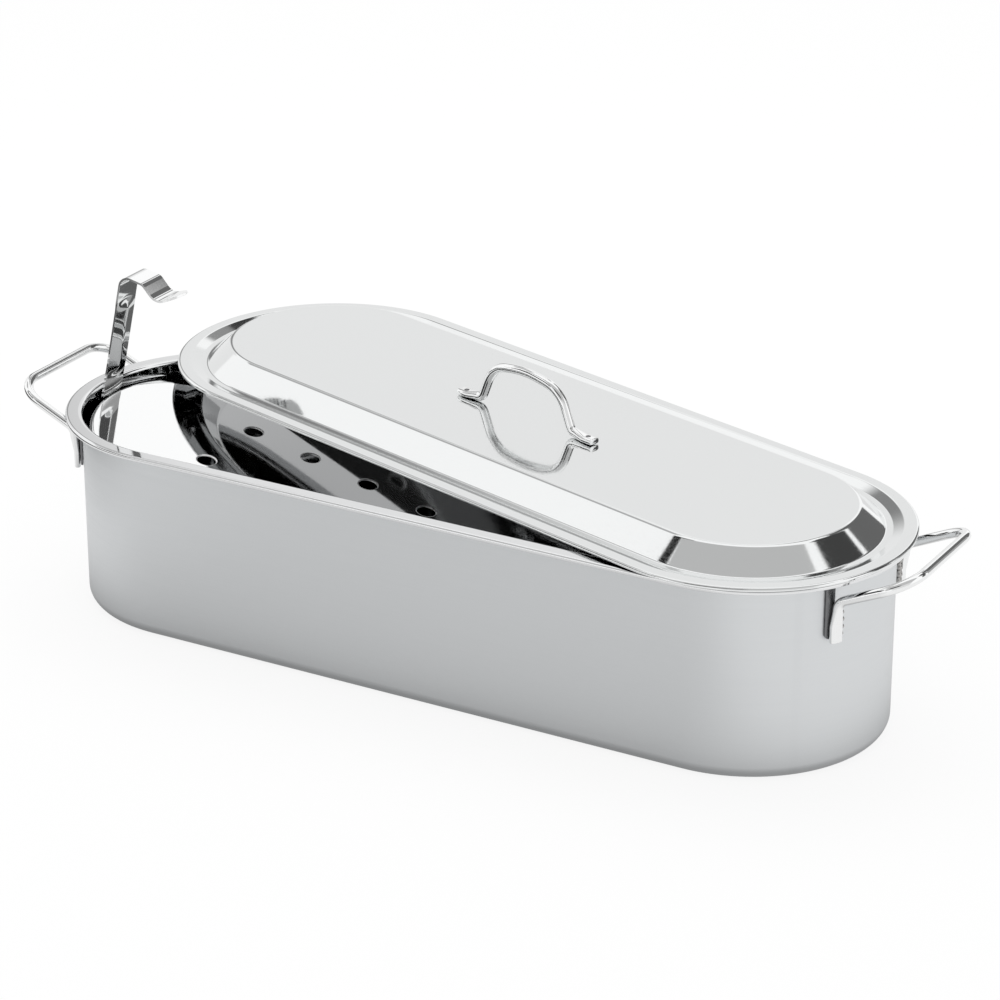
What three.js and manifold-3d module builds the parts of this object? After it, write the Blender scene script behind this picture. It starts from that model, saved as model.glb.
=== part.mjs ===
// Fish kettle: a long drawn pan with two wire handles, a loose lid and a lift-out draining rack.
// Millimetres, +Z up. The origin is the middle of the pan's underside, and +X runs along the pan.
// All of it is pressed from thin stainless sheet or bent from round wire, so two forms do most of
// the work: a sheet that follows a bent line, and a wire that follows a path with round corners.
import * as THREE from "three";
import { mergeVertices } from "three/addons/utils/BufferGeometryUtils.js";
import Module from "manifold-3d";

const wasm = await Module();
wasm.setup();

// Gaps between pieces
const weldGap = 0.3; // between pieces that are welded together
const restGap = 0.3; // between loose pieces, where one rests on the other

// Pan. Every bend of sheet is given by the radius on its hollow side.
const panStraight = 314; // length of the straight sides
const panRadius = 73; // outer radius of the round ends, half the pan's width
const panHeight = 106; // underside to the top of the rim
const panSheet = 0.8;
const panFloorBend = 6.2; // inside, where the floor turns up into the wall
const panRimBend = 1.6; // under the rim, where the wall turns outwards
const rimWidth = 8.6; // wall to the rim's outer edge
const rimLip = 2.4; // depth of the rim's turned-down edge
const edgeBend = 0.7; // inside that edge, and the lid's

// Handle wire. The feet of all three handles are pressed flat where they are welded down.
const wireDiameter = 5;
const footThickness = 3.3;
const footWidth = 6.8;
const footFade = 5; // length of wire over which the pressing dies out

// Side handles
const handleSpan = 79; // between the middle lines of a handle's legs
const handleReach = 36.8; // feet out to the grip, seen from above, on the middle lines
const handleSlope = 24.7; // degrees by which the handle rises outwards
const handleFootEnd = 34; // top of the rim down to the lower end of the feet
const handleFoot = 21.5; // length of each upright foot
const handleFootBend = 6.5; // all wire bends are given on the wire's middle line
const handleCornerBend = 16;

// Pads between the feet and the wall
const padWidth = 5;
const padThickness = 1.2;
const padShortOfFoot = 1.3; // how far a foot reaches below its pad
const padOffset = 2.1; // middle of a pad from the middle of its foot, away from the grip

// Lid
const lidEndPlay = 2; // how far the shut lid can slide lengthwise, each way
const lidOverhang = 2.4; // lid's edge beyond the pan's rim
const lidSheet = 0.8;
const lidLip = 1.9; // depth of the lid's turned-down edge
const lidFlange = 7; // flat edge, seen from above
const lidFunnel = 6; // sloping ring that drops from the flange into the channel
const channelFloor = 3.4;
const channelDepth = 2; // flange down to the channel, on the underside
const shoulderWidth = 12.8; // channel up to the panel, seen from above
const panelRise = 9.3; // flange up to the panel, on the underside
const funnelBend = 3;
const channelBend = 1.4;
const panelBend = 2.4;

// How the lid lies on the pan, askew and drawn back so that the rack shows
const lidTurn = -16.46; // degrees about the vertical
const lidShiftX = 8.3;
const lidShiftY = 42;

// Lid handle
const bridgeLength = 99; // tip to tip
const bridgeFoot = 16.5; // length of each foot that lies on the panel
const bridgeCrown = 26.2; // panel to the wire's middle line, halfway along
const bridgeShoulder = 22.4; // the same where the legs turn into the crown
const bridgeLean = 8.5; // how far each leg leans inwards as it rises
const bridgeFootBend = 4.5;
const bridgeShoulderBend = 9;
const bridgeCrownBend = 60;
const bridgeShiftX = 2.5; // the handle sits a little off the middle of the lid
const bridgeShiftY = -4;

// Draining rack
const rackPlay = 4.7; // rack to the pan's wall, all round, when the rack lies flat
const rackSheet = 0.8;
const rackLip = 4; // depth of the rack's turned-down edge
const rackBend = 1.8;
const holeDiameter = 10;
const holePitch = 36.8;
const holesPerRow = 9;
const holeRowSpacing = 45.5;

// Lifting strips, one at each end of the rack
const stripWidth = 17;
const stripThickness = 1.2;
const stripHeight = 73.8; // rack's upper face to the top of the grip
const stripBend = 5.5; // where the strip turns inwards into the grip
const gripCrown = 13.2; // flat top of the grip
const gripFall = 9.6; // length over which the top drops into the finger hollow
const gripDip = 7.1; // depth of that hollow
const gripTongue = 12.3; // hollow out to the tip
const gripTongueRise = 8; // tip above the hollow
const gripCrownBend = 4;
const gripDipBend = 6.5;
const creaseDepth = 1.8; // stiffening ridge pressed along the middle of the strip
const creaseStart = 10; // rack's upper face up to the lower end of the ridge
const creaseEnd = 16; // top of the grip down to the upper end of the ridge
const creaseFade = 6; // length over which the ridge dies out at each end
const tongueTip = 3; // width of the flat left at the very tip

// Fineness of the round shapes
const endFacets = 22; // round each end of the pan, the lid and the rack
const bendFacet = 30; // degrees turned by one facet of a bend
const wireSides = 10;
const wireFacet = 3; // length along the wire
const holeSides = 20;
const stripFacets = 6; // across a strip, an even count so that one edge lies on the ridge
const tipFacets = 5; // round the tip of the tongue

// Satin outside, a softer shine on the lid, and a full polish on the wires and the rack.
const satinSteel = new THREE.MeshStandardMaterial({ color: 0xc3c8ca, roughness: 0.34, metalness: 1 });
const lidSteel = new THREE.MeshStandardMaterial({ color: 0xd6d9da, roughness: 0.2, metalness: 1 });
const brightSteel = new THREE.MeshStandardMaterial({ color: 0xd0d3d4, roughness: 0.08, metalness: 1 });

const wireRadius = wireDiameter / 2;
const halfStraight = panStraight / 2;

// How far a line turns at each of its corners, in radians, positive to the left.
function turnsOf(points) {
  return points.map((here, i) => {
    if (i === 0 || i === points.length - 1) return 0;
    const into = here.clone().sub(points[i - 1]);
    const out = points[i + 1].clone().sub(here);
    return Math.atan2(into.cross(out), into.dot(out));
  });
}

// A flat line through corners that are rounded by arcs. Each arc gets the facets it is told to, so
// that two lines beside each other have the same number of points.
function roundedLine(corners, radii, facets) {
  const turns = turnsOf(corners);
  const line = [];
  corners.forEach((corner, i) => {
    if (facets[i] === 0) {
      line.push(corner);
      return;
    }
    const into = corner.clone().sub(corners[i - 1]).normalize();
    const toLeft = new THREE.Vector2(-into.y, into.x).multiplyScalar(Math.sign(turns[i]));
    const arcStart = corner.clone().addScaledVector(into, -radii[i] * Math.tan(Math.abs(turns[i]) / 2));
    const centre = arcStart.clone().addScaledVector(toLeft, radii[i]);
    for (let k = 0; k <= facets[i]; k++) {
      line.push(arcStart.clone().rotateAround(centre, (turns[i] * k) / facets[i]));
    }
  });
  return line;
}

// A bent sheet in section. The corners [x, y, bend] run along its upper face, and the metal lies to
// the right of them. The lower face is the same line moved over by the thickness.
function bentSheet(corners, thickness) {
  const upper = corners.map(([x, y]) => new THREE.Vector2(x, y));
  const turns = turnsOf(upper);
  const last = upper.length - 1;
  const lower = upper.map((corner, i) => {
    const into = corner.clone().sub(upper[Math.max(i - 1, 0)]).normalize();
    const out = upper[Math.min(i + 1, last)].clone().sub(corner).normalize();
    const first = i === 0 ? out : into;
    const second = i === last ? into : out;
    const toRight = new THREE.Vector2(first.y + second.y, -first.x - second.x);
    return corner.clone().addScaledVector(toRight, thickness / (1 + first.dot(second)));
  });
  const facets = corners.map(([, , bend], i) =>
    bend ? Math.max(2, Math.ceil(Math.abs(turns[i]) / THREE.MathUtils.degToRad(bendFacet))) : 0,
  );
  const upperRadii = corners.map(([, , bend], i) => (turns[i] > 0 ? bend : bend + thickness));
  const lowerRadii = corners.map(([, , bend], i) => (turns[i] > 0 ? bend + thickness : bend));
  return {
    upper: roundedLine(upper, upperRadii, facets),
    lower: roundedLine(lower, lowerRadii, facets),
  };
}

// A closed body through a row of rings with equal numbers of points. The first and the last ring are
// closed by a fan. The points of a ring run anticlockwise for someone looking the way the rings go,
// or, where the body is a dish whose rings spread from the middle, for someone looking down on it.
function skin(rings) {
  const count = rings[0].length;
  const points = rings.flat();
  const faces = [];
  rings.slice(1).forEach((_, r) => {
    for (let i = 0; i < count; i++) {
      const a = r * count + i;
      const b = r * count + ((i + 1) % count);
      faces.push(a, a + count, b, b, a + count, b + count);
    }
  });
  [0, rings.length - 1].forEach((r) => {
    const middle = new THREE.Vector3();
    rings[r].forEach((point) => middle.addScaledVector(point, 1 / count));
    const hub = points.push(middle) - 1;
    for (let i = 0; i < count; i++) {
      const a = r * count + i;
      const b = r * count + ((i + 1) % count);
      faces.push(...(r === 0 ? [a, b, hub] : [b, a, hub]));
    }
  });
  const body = new THREE.BufferGeometry().setFromPoints(points);
  body.setIndex(faces);
  body.computeVertexNormals();
  return body;
}

// A ring of two half circles joined by straight sides, anticlockwise seen from above.
function stadiumRing(straight, radius, z) {
  const ring = [];
  [0, 1].forEach((end) => {
    for (let i = 0; i <= endFacets; i++) {
      const angle = Math.PI * (end - 0.5 + i / endFacets);
      const x = (end ? -straight : straight) / 2 + radius * Math.cos(angle);
      ring.push(new THREE.Vector3(x, radius * Math.sin(angle), z));
    }
  });
  return ring;
}

// A long dish of sheet: its section runs from the middle outwards over the upper face, and back
// under it, and goes all round the stadium.
function dish(corners, straight, thickness) {
  const { upper, lower } = bentSheet(corners, thickness);
  const section = [...upper, ...lower.reverse()];
  return skin(section.map(({ x, y }) => stadiumRing(straight, x, y)));
}

// One bend of a wire: an arc between two straight stretches that meet at a corner.
class Bend extends THREE.Curve {
  constructor(corner, into, out, radius) {
    super();
    this.turn = into.angleTo(out);
    this.radius = radius;
    this.along = into.clone();
    this.inwards = out.clone().addScaledVector(into, -into.dot(out)).normalize();
    this.start = corner.clone().addScaledVector(into, -radius * Math.tan(this.turn / 2));
  }
  getPoint(t, point = new THREE.Vector3()) {
    const angle = this.turn * t;
    return point
      .copy(this.start)
      .addScaledVector(this.along, this.radius * Math.sin(angle))
      .addScaledVector(this.inwards, this.radius * (1 - Math.cos(angle)));
  }
}

// A round wire along corners [x, y, z, bend].
function wire(corners) {
  const points = corners.map(([x, y, z]) => new THREE.Vector3(x, y, z));
  const path = new THREE.CurvePath();
  let from = points[0];
  points.slice(1, -1).forEach((corner, i) => {
    const into = corner.clone().sub(points[i]).normalize();
    const out = points[i + 2].clone().sub(corner).normalize();
    const bend = new Bend(corner, into, out, corners[i + 1][3]);
    path.add(new THREE.LineCurve3(from, bend.getPoint(0)));
    path.add(bend);
    from = bend.getPoint(1);
  });
  path.add(new THREE.LineCurve3(from, points[points.length - 1]));
  const section = new THREE.Shape();
  for (let i = 0; i < wireSides; i++) {
    const angle = (2 * Math.PI * i) / wireSides;
    const move = i === 0 ? "moveTo" : "lineTo";
    section[move](wireRadius * Math.cos(angle), wireRadius * Math.sin(angle));
  }
  const steps = Math.ceil(path.getLength() / wireFacet);
  return new THREE.ExtrudeGeometry(section, { steps, extrudePath: path, bevelEnabled: false });
}

// Presses the feet of a wire flat. The back of a foot, which faces what it is welded to, stays where
// it is. share tells how far a point of the wire is pressed, from 0 to 1, middle is the point beside
// it on the wire's middle line, and facing is the direction from the foot's back to its front.
function pressFeet(geometry, share, middle, facing) {
  const position = geometry.attributes.position;
  const point = new THREE.Vector3();
  for (let i = 0; i < position.count; i++) {
    point.fromBufferAttribute(position, i);
    const amount = share(point);
    if (amount === 0) continue;
    const centre = middle(point);
    const front = facing(point);
    const halfThickness = THREE.MathUtils.lerp(wireRadius, footThickness / 2, amount);
    const widening = THREE.MathUtils.lerp(1, footWidth / wireDiameter, amount);
    const across = point.clone().sub(centre);
    const depth = across.dot(front);
    across.addScaledVector(front, -depth);
    const pressed = THREE.MathUtils.clamp(depth, -halfThickness, halfThickness);
    point.copy(centre).addScaledVector(across, widening);
    point.addScaledVector(front, pressed + halfThickness - wireRadius);
    position.setXYZ(i, point.x, point.y, point.z);
  }
  geometry.computeVertexNormals();
  return geometry;
}

// How much of a wire a bend takes up on each side of its corner, by the angle that it turns.
function bendLength(bend, turn) {
  return bend * Math.tan(turn / 2);
}

// Pan: floor, fillet, upright wall, rim turned outwards and its edge turned down.
const panInside = panRadius - panSheet;
const rimRadius = panRadius + rimWidth;
const panShell = dish(
  [
    [panInside / 2, panSheet, 0],
    [panInside, panSheet, panFloorBend],
    [panInside, panHeight, panRimBend],
    [rimRadius, panHeight, edgeBend],
    [rimRadius, panHeight - rimLip, 0],
  ],
  panStraight,
  panSheet,
);

// Side handle, as at the +X end: up the wall, out and up to the grip, and back the same way. It is
// set out from the middle of the round end.
const footRadius = panRadius + weldGap + padThickness + weldGap + wireRadius;
const footAngle = Math.asin(handleSpan / 2 / footRadius);
const footX = footRadius * Math.cos(footAngle);
const footLow = panHeight - handleFootEnd;
const footHigh = footLow + handleFoot;
const slope = THREE.MathUtils.degToRad(handleSlope);
const gripX = footX + handleReach;
const gripZ = footHigh + handleReach * Math.tan(slope);
const halfSpan = handleSpan / 2;
const roundHandle = wire([
  [footX, -halfSpan, footLow],
  [footX, -halfSpan, footHigh, handleFootBend],
  [gripX, -halfSpan, gripZ, handleCornerBend],
  [gripX, halfSpan, gripZ, handleCornerBend],
  [footX, halfSpan, footHigh, handleFootBend],
  [footX, halfSpan, footLow],
]);
const pressHigh = footHigh - bendLength(handleFootBend, Math.PI / 2 - slope);
const sideHandle = pressFeet(
  roundHandle,
  ({ z }) => 1 - THREE.MathUtils.smoothstep(z, pressHigh - footFade, pressHigh),
  ({ y, z }) => new THREE.Vector3(footX, Math.sign(y) * halfSpan, z),
  ({ y }) => new THREE.Vector3(Math.cos(footAngle), Math.sign(y) * Math.sin(footAngle), 0),
);

// Pad behind a foot: a flat strip with a round lower end, drawn upright and facing +Y.
const padAngle = footAngle + padOffset / panRadius;
const padLow = footLow + padShortOfFoot;
const padHigh = panHeight - panSheet - panRimBend - weldGap;
const padOutline = new THREE.Shape()
  .moveTo(padWidth / 2, padLow + padWidth / 2)
  .lineTo(padWidth / 2, padHigh)
  .lineTo(-padWidth / 2, padHigh)
  .lineTo(-padWidth / 2, padLow + padWidth / 2)
  .absarc(0, padLow + padWidth / 2, padWidth / 2, Math.PI, 2 * Math.PI, false);
const pad = new THREE.ExtrudeGeometry(padOutline, {
  depth: padThickness,
  bevelEnabled: false,
  curveSegments: 8,
});
pad.rotateX(Math.PI / 2); // the outline stands up, and its thickness runs towards -Y
pad.rotateZ(Math.PI / 2); // the thickness runs towards +X, from the wall outwards
pad.translate(panRadius + weldGap, 0, 0);

// Lid, with z = 0 at the underside of its flange: panel, shoulder, channel, funnel, flange, edge.
const lidStraight = panStraight - 2 * lidEndPlay;
const lidRadius = rimRadius + lidOverhang;
const funnelTop = lidRadius - lidFlange;
const channelOuter = funnelTop - lidFunnel;
const channelInner = channelOuter - channelFloor;
const panelEdge = channelInner - shoulderWidth;
const lidShell = dish(
  [
    [panelEdge / 2, panelRise + lidSheet, 0],
    [panelEdge, panelRise + lidSheet, panelBend],
    [channelInner, lidSheet - channelDepth, channelBend],
    [channelOuter, lidSheet - channelDepth, channelBend],
    [funnelTop, lidSheet, funnelBend],
    [lidRadius, lidSheet, edgeBend],
    [lidRadius, lidSheet - lidLip, 0],
  ],
  lidStraight,
  lidSheet,
);

// Lid handle: two feet on the panel and a slightly arched bridge.
const bridgeLow = wireRadius;
const footIn = bridgeLength / 2 - bridgeFoot;
const shoulderIn = footIn - bridgeLean;
const roundBridge = wire([
  [-bridgeLength / 2, 0, bridgeLow],
  [-footIn, 0, bridgeLow, bridgeFootBend],
  [-shoulderIn, 0, bridgeShoulder, bridgeShoulderBend],
  [0, 0, bridgeCrown, bridgeCrownBend],
  [shoulderIn, 0, bridgeShoulder, bridgeShoulderBend],
  [footIn, 0, bridgeLow, bridgeFootBend],
  [bridgeLength / 2, 0, bridgeLow],
]);
const legTurn = Math.atan2(bridgeShoulder - bridgeLow, bridgeLean);
const pressIn = footIn + bendLength(bridgeFootBend, legTurn);
const lidBridge = pressFeet(
  roundBridge,
  ({ x }) => THREE.MathUtils.smoothstep(Math.abs(x), pressIn, pressIn + footFade),
  ({ x }) => new THREE.Vector3(x, 0, bridgeLow),
  () => new THREE.Vector3(0, 0, 1),
);

// A geometry as a manifold solid, and a solid as a geometry.
function solid(geometry) {
  const bare = geometry.clone();
  bare.deleteAttribute("normal");
  bare.deleteAttribute("uv");
  const merged = mergeVertices(bare, 1e-4);
  const vertProperties = merged.attributes.position.array;
  const triVerts = new Uint32Array(merged.index.array);
  return new wasm.Manifold(new wasm.Mesh({ numProp: 3, vertProperties, triVerts }));
}
function geometryOf(body) {
  const mesh = body.getMesh();
  const geometry = new THREE.BufferGeometry();
  geometry.setAttribute("position", new THREE.BufferAttribute(mesh.vertProperties, mesh.numProp));
  geometry.setIndex(new THREE.BufferAttribute(mesh.triVerts, 1));
  const faceted = geometry.toNonIndexed();
  faceted.computeVertexNormals();
  return faceted;
}

// Rack, with z = 0 at the lower edge of its lip: a flat plate with a turned-down edge and two rows
// of drain holes.
const rackRadius = panInside - rackPlay;
const rackBlank = dish(
  [
    [rackRadius / 2, rackLip, 0],
    [rackRadius, rackLip, rackBend],
    [rackRadius, 0, 0],
  ],
  panStraight,
  rackSheet,
);
const drill = new THREE.CylinderGeometry(holeDiameter / 2, holeDiameter / 2, rackLip * 2, holeSides);
drill.rotateX(Math.PI / 2);
let drilled = solid(rackBlank);
[-1, 1].forEach((row) => {
  for (let i = 0; i < holesPerRow; i++) {
    const x = (i - (holesPerRow - 1) / 2) * holePitch;
    const hole = drill.clone().translate(x, (row * holeRowSpacing) / 2, rackLip);
    drilled = drilled.subtract(solid(hole));
  }
});
const rackPlate = geometryOf(drilled);

// Lifting strip, as at the +X end: it stands against the rack's lip, turns inwards over the rack,
// dips into a finger hollow and ends in a round tongue. Its section runs up the inner face.
const stripInner = halfStraight + rackRadius + weldGap;
const stripOuter = stripInner + stripThickness;
const underGrip = rackLip + stripHeight - stripThickness;
const creaseLow = rackLip + creaseStart;
const creaseHigh = rackLip + stripHeight - creaseEnd;
const hollowX = stripInner - gripCrown - gripFall;
const hollowZ = underGrip - gripDip;
const tip = new THREE.Vector2(hollowX - gripTongue, hollowZ + gripTongueRise);
const tongue = new THREE.Vector2(hollowX, hollowZ).sub(tip).normalize();

// The corners close to the tip, where the tongue's outline is a half circle.
function tipCorners() {
  const corners = [];
  for (let k = 0; k <= tipFacets; k++) {
    const angle = (k / tipFacets) * Math.acos(tongueTip / stripWidth);
    const point = tip.clone().addScaledVector(tongue, (stripWidth / 2) * (1 - Math.sin(angle)));
    corners.push([point.x, point.y, 0]);
  }
  return corners;
}

// Half the strip's width at a point of its section, by the distance to the tip.
function stripHalfWidth(point) {
  const half = stripWidth / 2;
  const inTip = Math.max(0, half - point.clone().sub(tip).dot(tongue));
  return Math.sqrt(Math.max(half * half - inTip * inTip, (tongueTip * tongueTip) / 4));
}

// How far the ridge stands in from the strip's face, at a height and a share of the width.
function crease(height, across) {
  const fadeIn = THREE.MathUtils.smoothstep(height, creaseLow, creaseLow + creaseFade);
  const fadeOut = THREE.MathUtils.smoothstep(height, creaseHigh - creaseFade, creaseHigh);
  return creaseDepth * (fadeIn - fadeOut) * (1 - Math.abs(across));
}

function liftingStrip() {
  const { upper, lower } = bentSheet(
    [
      [stripInner, 0, 0],
      [stripInner, creaseLow, 0],
      [stripInner, creaseLow + creaseFade / 2, 0],
      [stripInner, creaseLow + creaseFade, 0],
      [stripInner, creaseHigh - creaseFade, 0],
      [stripInner, creaseHigh - creaseFade / 2, 0],
      [stripInner, creaseHigh, 0],
      [stripInner, underGrip, stripBend],
      [stripInner - gripCrown, underGrip, gripCrownBend],
      [hollowX, hollowZ, gripDipBend],
      ...tipCorners(),
    ],
    stripThickness,
  );
  const shares = Array.from({ length: stripFacets + 1 }, (_, j) => (2 * j) / stripFacets - 1);
  const rings = upper.map((inner, i) => {
    const outer = lower[i];
    const half = stripHalfWidth(inner);
    const near = shares.map((s) => new THREE.Vector3(inner.x - crease(inner.y, s), s * half, inner.y));
    const far = shares.map((s) => new THREE.Vector3(outer.x - crease(inner.y, s), s * half, outer.y));
    return [...near, ...far.reverse()];
  });
  return skin(rings);
}

// The rack stands as it does when it is left to drain: its low end on the pan's floor, the foot of
// its high strip against one end wall, and the bend of its low strip against the other.
const wallReach =
  halfStraight + Math.sqrt(panInside * panInside - (stripWidth * stripWidth) / 4) - restGap;
const bendHeight = underGrip - stripBend;
const rackDiagonal = Math.hypot(2 * stripOuter, bendHeight);
const rackTilt =
  Math.atan2(bendHeight, 2 * stripOuter) + Math.acos(Math.min(1, (2 * wallReach) / rackDiagonal));
const rackX = stripOuter * Math.cos(rackTilt) - wallReach;
const rackZ = panSheet + restGap + stripOuter * Math.sin(rackTilt);

function piece(name, geometry, material) {
  const mesh = new THREE.Mesh(geometry, material);
  mesh.name = name;
  return mesh;
}

const kettle = new THREE.Group();
kettle.add(piece("pan_body", panShell, satinSteel));

// The two ends are alike, each turned half round against the other.
[
  ["right", 0],
  ["left", Math.PI],
].forEach(([side, turn]) => {
  const fittings = new THREE.Group();
  fittings.position.set(halfStraight * Math.cos(turn), 0, 0);
  fittings.rotation.z = turn;
  fittings.add(piece("handle_" + side, sideHandle.clone(), brightSteel));
  [
    ["front", Math.cos(turn) > 0 ? -1 : 1],
    ["rear", Math.cos(turn) > 0 ? 1 : -1],
  ].forEach(([place, hand]) => {
    const strap = piece("handle_pad_" + side + "_" + place, pad.clone(), brightSteel);
    strap.rotation.z = hand * padAngle;
    fittings.add(strap);
  });
  kettle.add(fittings);
});

const rack = new THREE.Group();
rack.position.set(rackX, 0, rackZ);
rack.rotation.y = rackTilt;
rack.add(piece("rack_plate", rackPlate, brightSteel));
const stripRight = piece("lifting_strip_right", liftingStrip(), brightSteel);
const stripLeft = piece("lifting_strip_left", liftingStrip(), brightSteel);
stripLeft.rotation.z = Math.PI;
rack.add(stripRight, stripLeft);
kettle.add(rack);

const lid = new THREE.Group();
lid.position.set(lidShiftX, lidShiftY, panHeight + restGap + channelDepth);
lid.rotation.z = THREE.MathUtils.degToRad(lidTurn);
lid.add(piece("lid_shell", lidShell, lidSteel));
const bridge = piece("lid_handle", lidBridge, brightSteel);
bridge.position.set(bridgeShiftX, bridgeShiftY, panelRise + lidSheet + weldGap);
lid.add(bridge);
kettle.add(lid);

export default kettle;
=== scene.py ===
# %% [markdown]
# A fish kettle in stainless steel: a long drawn pan, a lid lying askew and a draining rack propped
# up in the pan. Nearly all of it is thin sheet or round wire, so two surfaces make nearly every
# piece: a section of bent sheet carried round a long oval, and a circle carried along a bent wire.
# A polished pan shows mostly its surroundings, so the studio that it reflects matters as much as
# its own shape.

from math import ceil, radians

import bmesh
import bpy
import numpy as np
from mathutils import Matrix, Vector


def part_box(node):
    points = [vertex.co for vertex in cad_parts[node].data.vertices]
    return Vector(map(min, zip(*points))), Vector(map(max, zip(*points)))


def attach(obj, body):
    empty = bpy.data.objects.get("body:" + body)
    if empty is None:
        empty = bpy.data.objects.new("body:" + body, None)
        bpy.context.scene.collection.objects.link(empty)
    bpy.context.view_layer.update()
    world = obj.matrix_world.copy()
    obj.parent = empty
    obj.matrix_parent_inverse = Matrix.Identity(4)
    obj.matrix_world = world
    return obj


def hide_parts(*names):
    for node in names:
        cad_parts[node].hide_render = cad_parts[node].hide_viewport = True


MM = 0.001


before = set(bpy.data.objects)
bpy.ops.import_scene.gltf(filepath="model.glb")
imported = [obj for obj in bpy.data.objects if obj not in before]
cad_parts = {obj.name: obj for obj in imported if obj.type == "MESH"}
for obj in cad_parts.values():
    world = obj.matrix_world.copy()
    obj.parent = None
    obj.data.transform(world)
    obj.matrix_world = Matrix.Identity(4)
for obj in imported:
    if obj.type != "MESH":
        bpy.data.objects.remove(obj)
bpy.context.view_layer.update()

# %% [markdown]
# Sizes are written in millimetres, as a maker would, and turned into metres when a mesh is made.
# Bent sheet and bent wire are straight stretches with bends between them. A mesh that is shaded
# smooth blends the directions of neighbouring faces, so each stretch starts and ends with a very
# short step: the blend then stays within that step, and flat sheet looks flat.

# %% Straight stretches
SHORT_STEP = 0.25  # at both ends of a stretch
LONG_STEP = 9.0
EXAMPLE_CORNERS = [(0, 0), (20, 0), (20, 20)]
EXAMPLE_BENDS = [0, 5, 0]


def stretch(start, end):
    """Points from start to end: start + share (end - start), the shares even but for the short ends."""
    length = np.linalg.norm(end - start)
    if length < 4 * SHORT_STEP:
        return np.array([start, end])
    steps = max(1, ceil(length / LONG_STEP))
    shares = np.r_[0, np.linspace(SHORT_STEP, length - SHORT_STEP, steps + 1) / length, 1]
    return start + shares[:, None] * (end - start)


print("points on a straight stretch of 20 mm:", len(stretch(*np.array(EXAMPLE_CORNERS[:2]))))

# %% [markdown]
# A bend is an arc that touches the stretches on both sides of it. A maker sets its radius, and
# where it starts follows from the angle that it turns.

# %% Bends
ARC_STEP = radians(8)  # turned by one step of a bend
LEAST_ARC_STEPS = 3
SAME_PLACE = 1e-6  # points nearer than this are one point


def unit(vector):
    """The vector divided by its length."""
    return vector / np.linalg.norm(vector)


def bend_length(bend, turn):
    """How much of a line a bend takes up on each side of its corner: bend tan(turn / 2)."""
    return bend * np.tan(turn / 2)


def arc(corner, into, out, bend):
    """Points start + bend (into sin a + inwards (1 - cos a)), with a from 0 to the angle turned."""
    turn = np.arccos(into @ out)
    inwards = unit(out - into * (into @ out))
    start = corner - into * bend_length(bend, turn)
    angle = np.linspace(0, turn, max(LEAST_ARC_STEPS, ceil(turn / ARC_STEP)) + 1)[:, None]
    return start + bend * (into * np.sin(angle) + inwards * (1 - np.cos(angle)))


def bent_line(corners, bends):
    """A line through corners, in a plane or in space, on which each corner with a bend is an arc."""
    corners = np.asarray(corners, float)
    start = corners[0]
    parts = []
    for before, corner, after, bend in zip(corners[:-2], corners[1:-1], corners[2:], bends[1:-1]):
        part = corner[None]
        if bend:
            part = arc(corner, unit(corner - before), unit(after - corner), bend)
        parts += [stretch(start, part[0]), part]
        start = part[-1]
    parts.append(stretch(start, corners[-1]))
    line = np.concatenate(parts)
    apart = np.linalg.norm(np.diff(line, axis=0), axis=1) > SAME_PLACE
    return line[np.r_[True, apart]]


print("points on an angle with one bend:", len(bent_line(EXAMPLE_CORNERS, EXAMPLE_BENDS)))

# %% [markdown]
# Sheet keeps its thickness round a bend, so its two faces have arcs of different radius about one
# centre. A drawing gives the radius on the hollow side. The cut edge of real sheet is tumbled or
# ground a little, and that soft edge is what catches the light, so it gets a rounded end.

# %% Sheet in section
SHEET = 0.8  # thickness of the pan, the lid and the rack
CUT_ROUNDING = 0.25  # how far the rounded cut edge stands out
CUT_STEPS = 8


def turns_of(corners):
    """How far a flat line turns at each corner, in radians, positive to the left."""
    steps = np.diff(corners, axis=0)
    into, out = steps[:-1], steps[1:]
    cross = into[:, 0] * out[:, 1] - into[:, 1] * out[:, 0]
    return np.r_[0, np.arctan2(cross, (into * out).sum(axis=1)), 0]


def sheet_section(corners, bends, thickness):
    """The closed section of a bent sheet, whose metal lies to the right of the corners. The second face's
    corners are the first's moved right along the corner's bisector; the cut edge is half an ellipse."""
    near = np.array(corners, float)
    along = np.array([unit(step) for step in np.diff(near, axis=0)])
    near[-1] = near[-1] - CUT_ROUNDING * along[-1]
    right = np.stack([along[:, 1], -along[:, 0]], axis=1)
    first = np.vstack([right[:1], right])
    second = np.vstack([right, right[-1:]])
    share = thickness / (1 + (first * second).sum(axis=1, keepdims=True))
    far = near + share * (first + second)
    turns = turns_of(near)
    near_bends = [b and (b if t > 0 else b + thickness) for b, t in zip(bends, turns)]
    far_bends = [b and (b + thickness if t > 0 else b) for b, t in zip(bends, turns)]
    near_line = bent_line(near, near_bends)
    far_line = bent_line(far, far_bends)
    angle = np.linspace(0, np.pi, CUT_STEPS + 1)[1:-1, None]
    middle = (near_line[-1] + far_line[-1]) / 2
    across = (near_line[-1] - far_line[-1]) / 2
    edge = middle + across * np.cos(angle) + CUT_ROUNDING * along[-1] * np.sin(angle)
    return np.concatenate([near_line, edge, far_line[::-1]]), len(near_line)


print("points round its section:", len(sheet_section(EXAMPLE_CORNERS, EXAMPLE_BENDS, SHEET)[0]))

# %% [markdown]
# A grid of points becomes a mesh in one call: four neighbouring points make a face. Where a row
# runs along the middle line of a dish, its front and back points meet, and merging them closes
# the mesh.

# %% Meshes
MERGE_DISTANCE = 1e-7  # in metres


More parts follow.
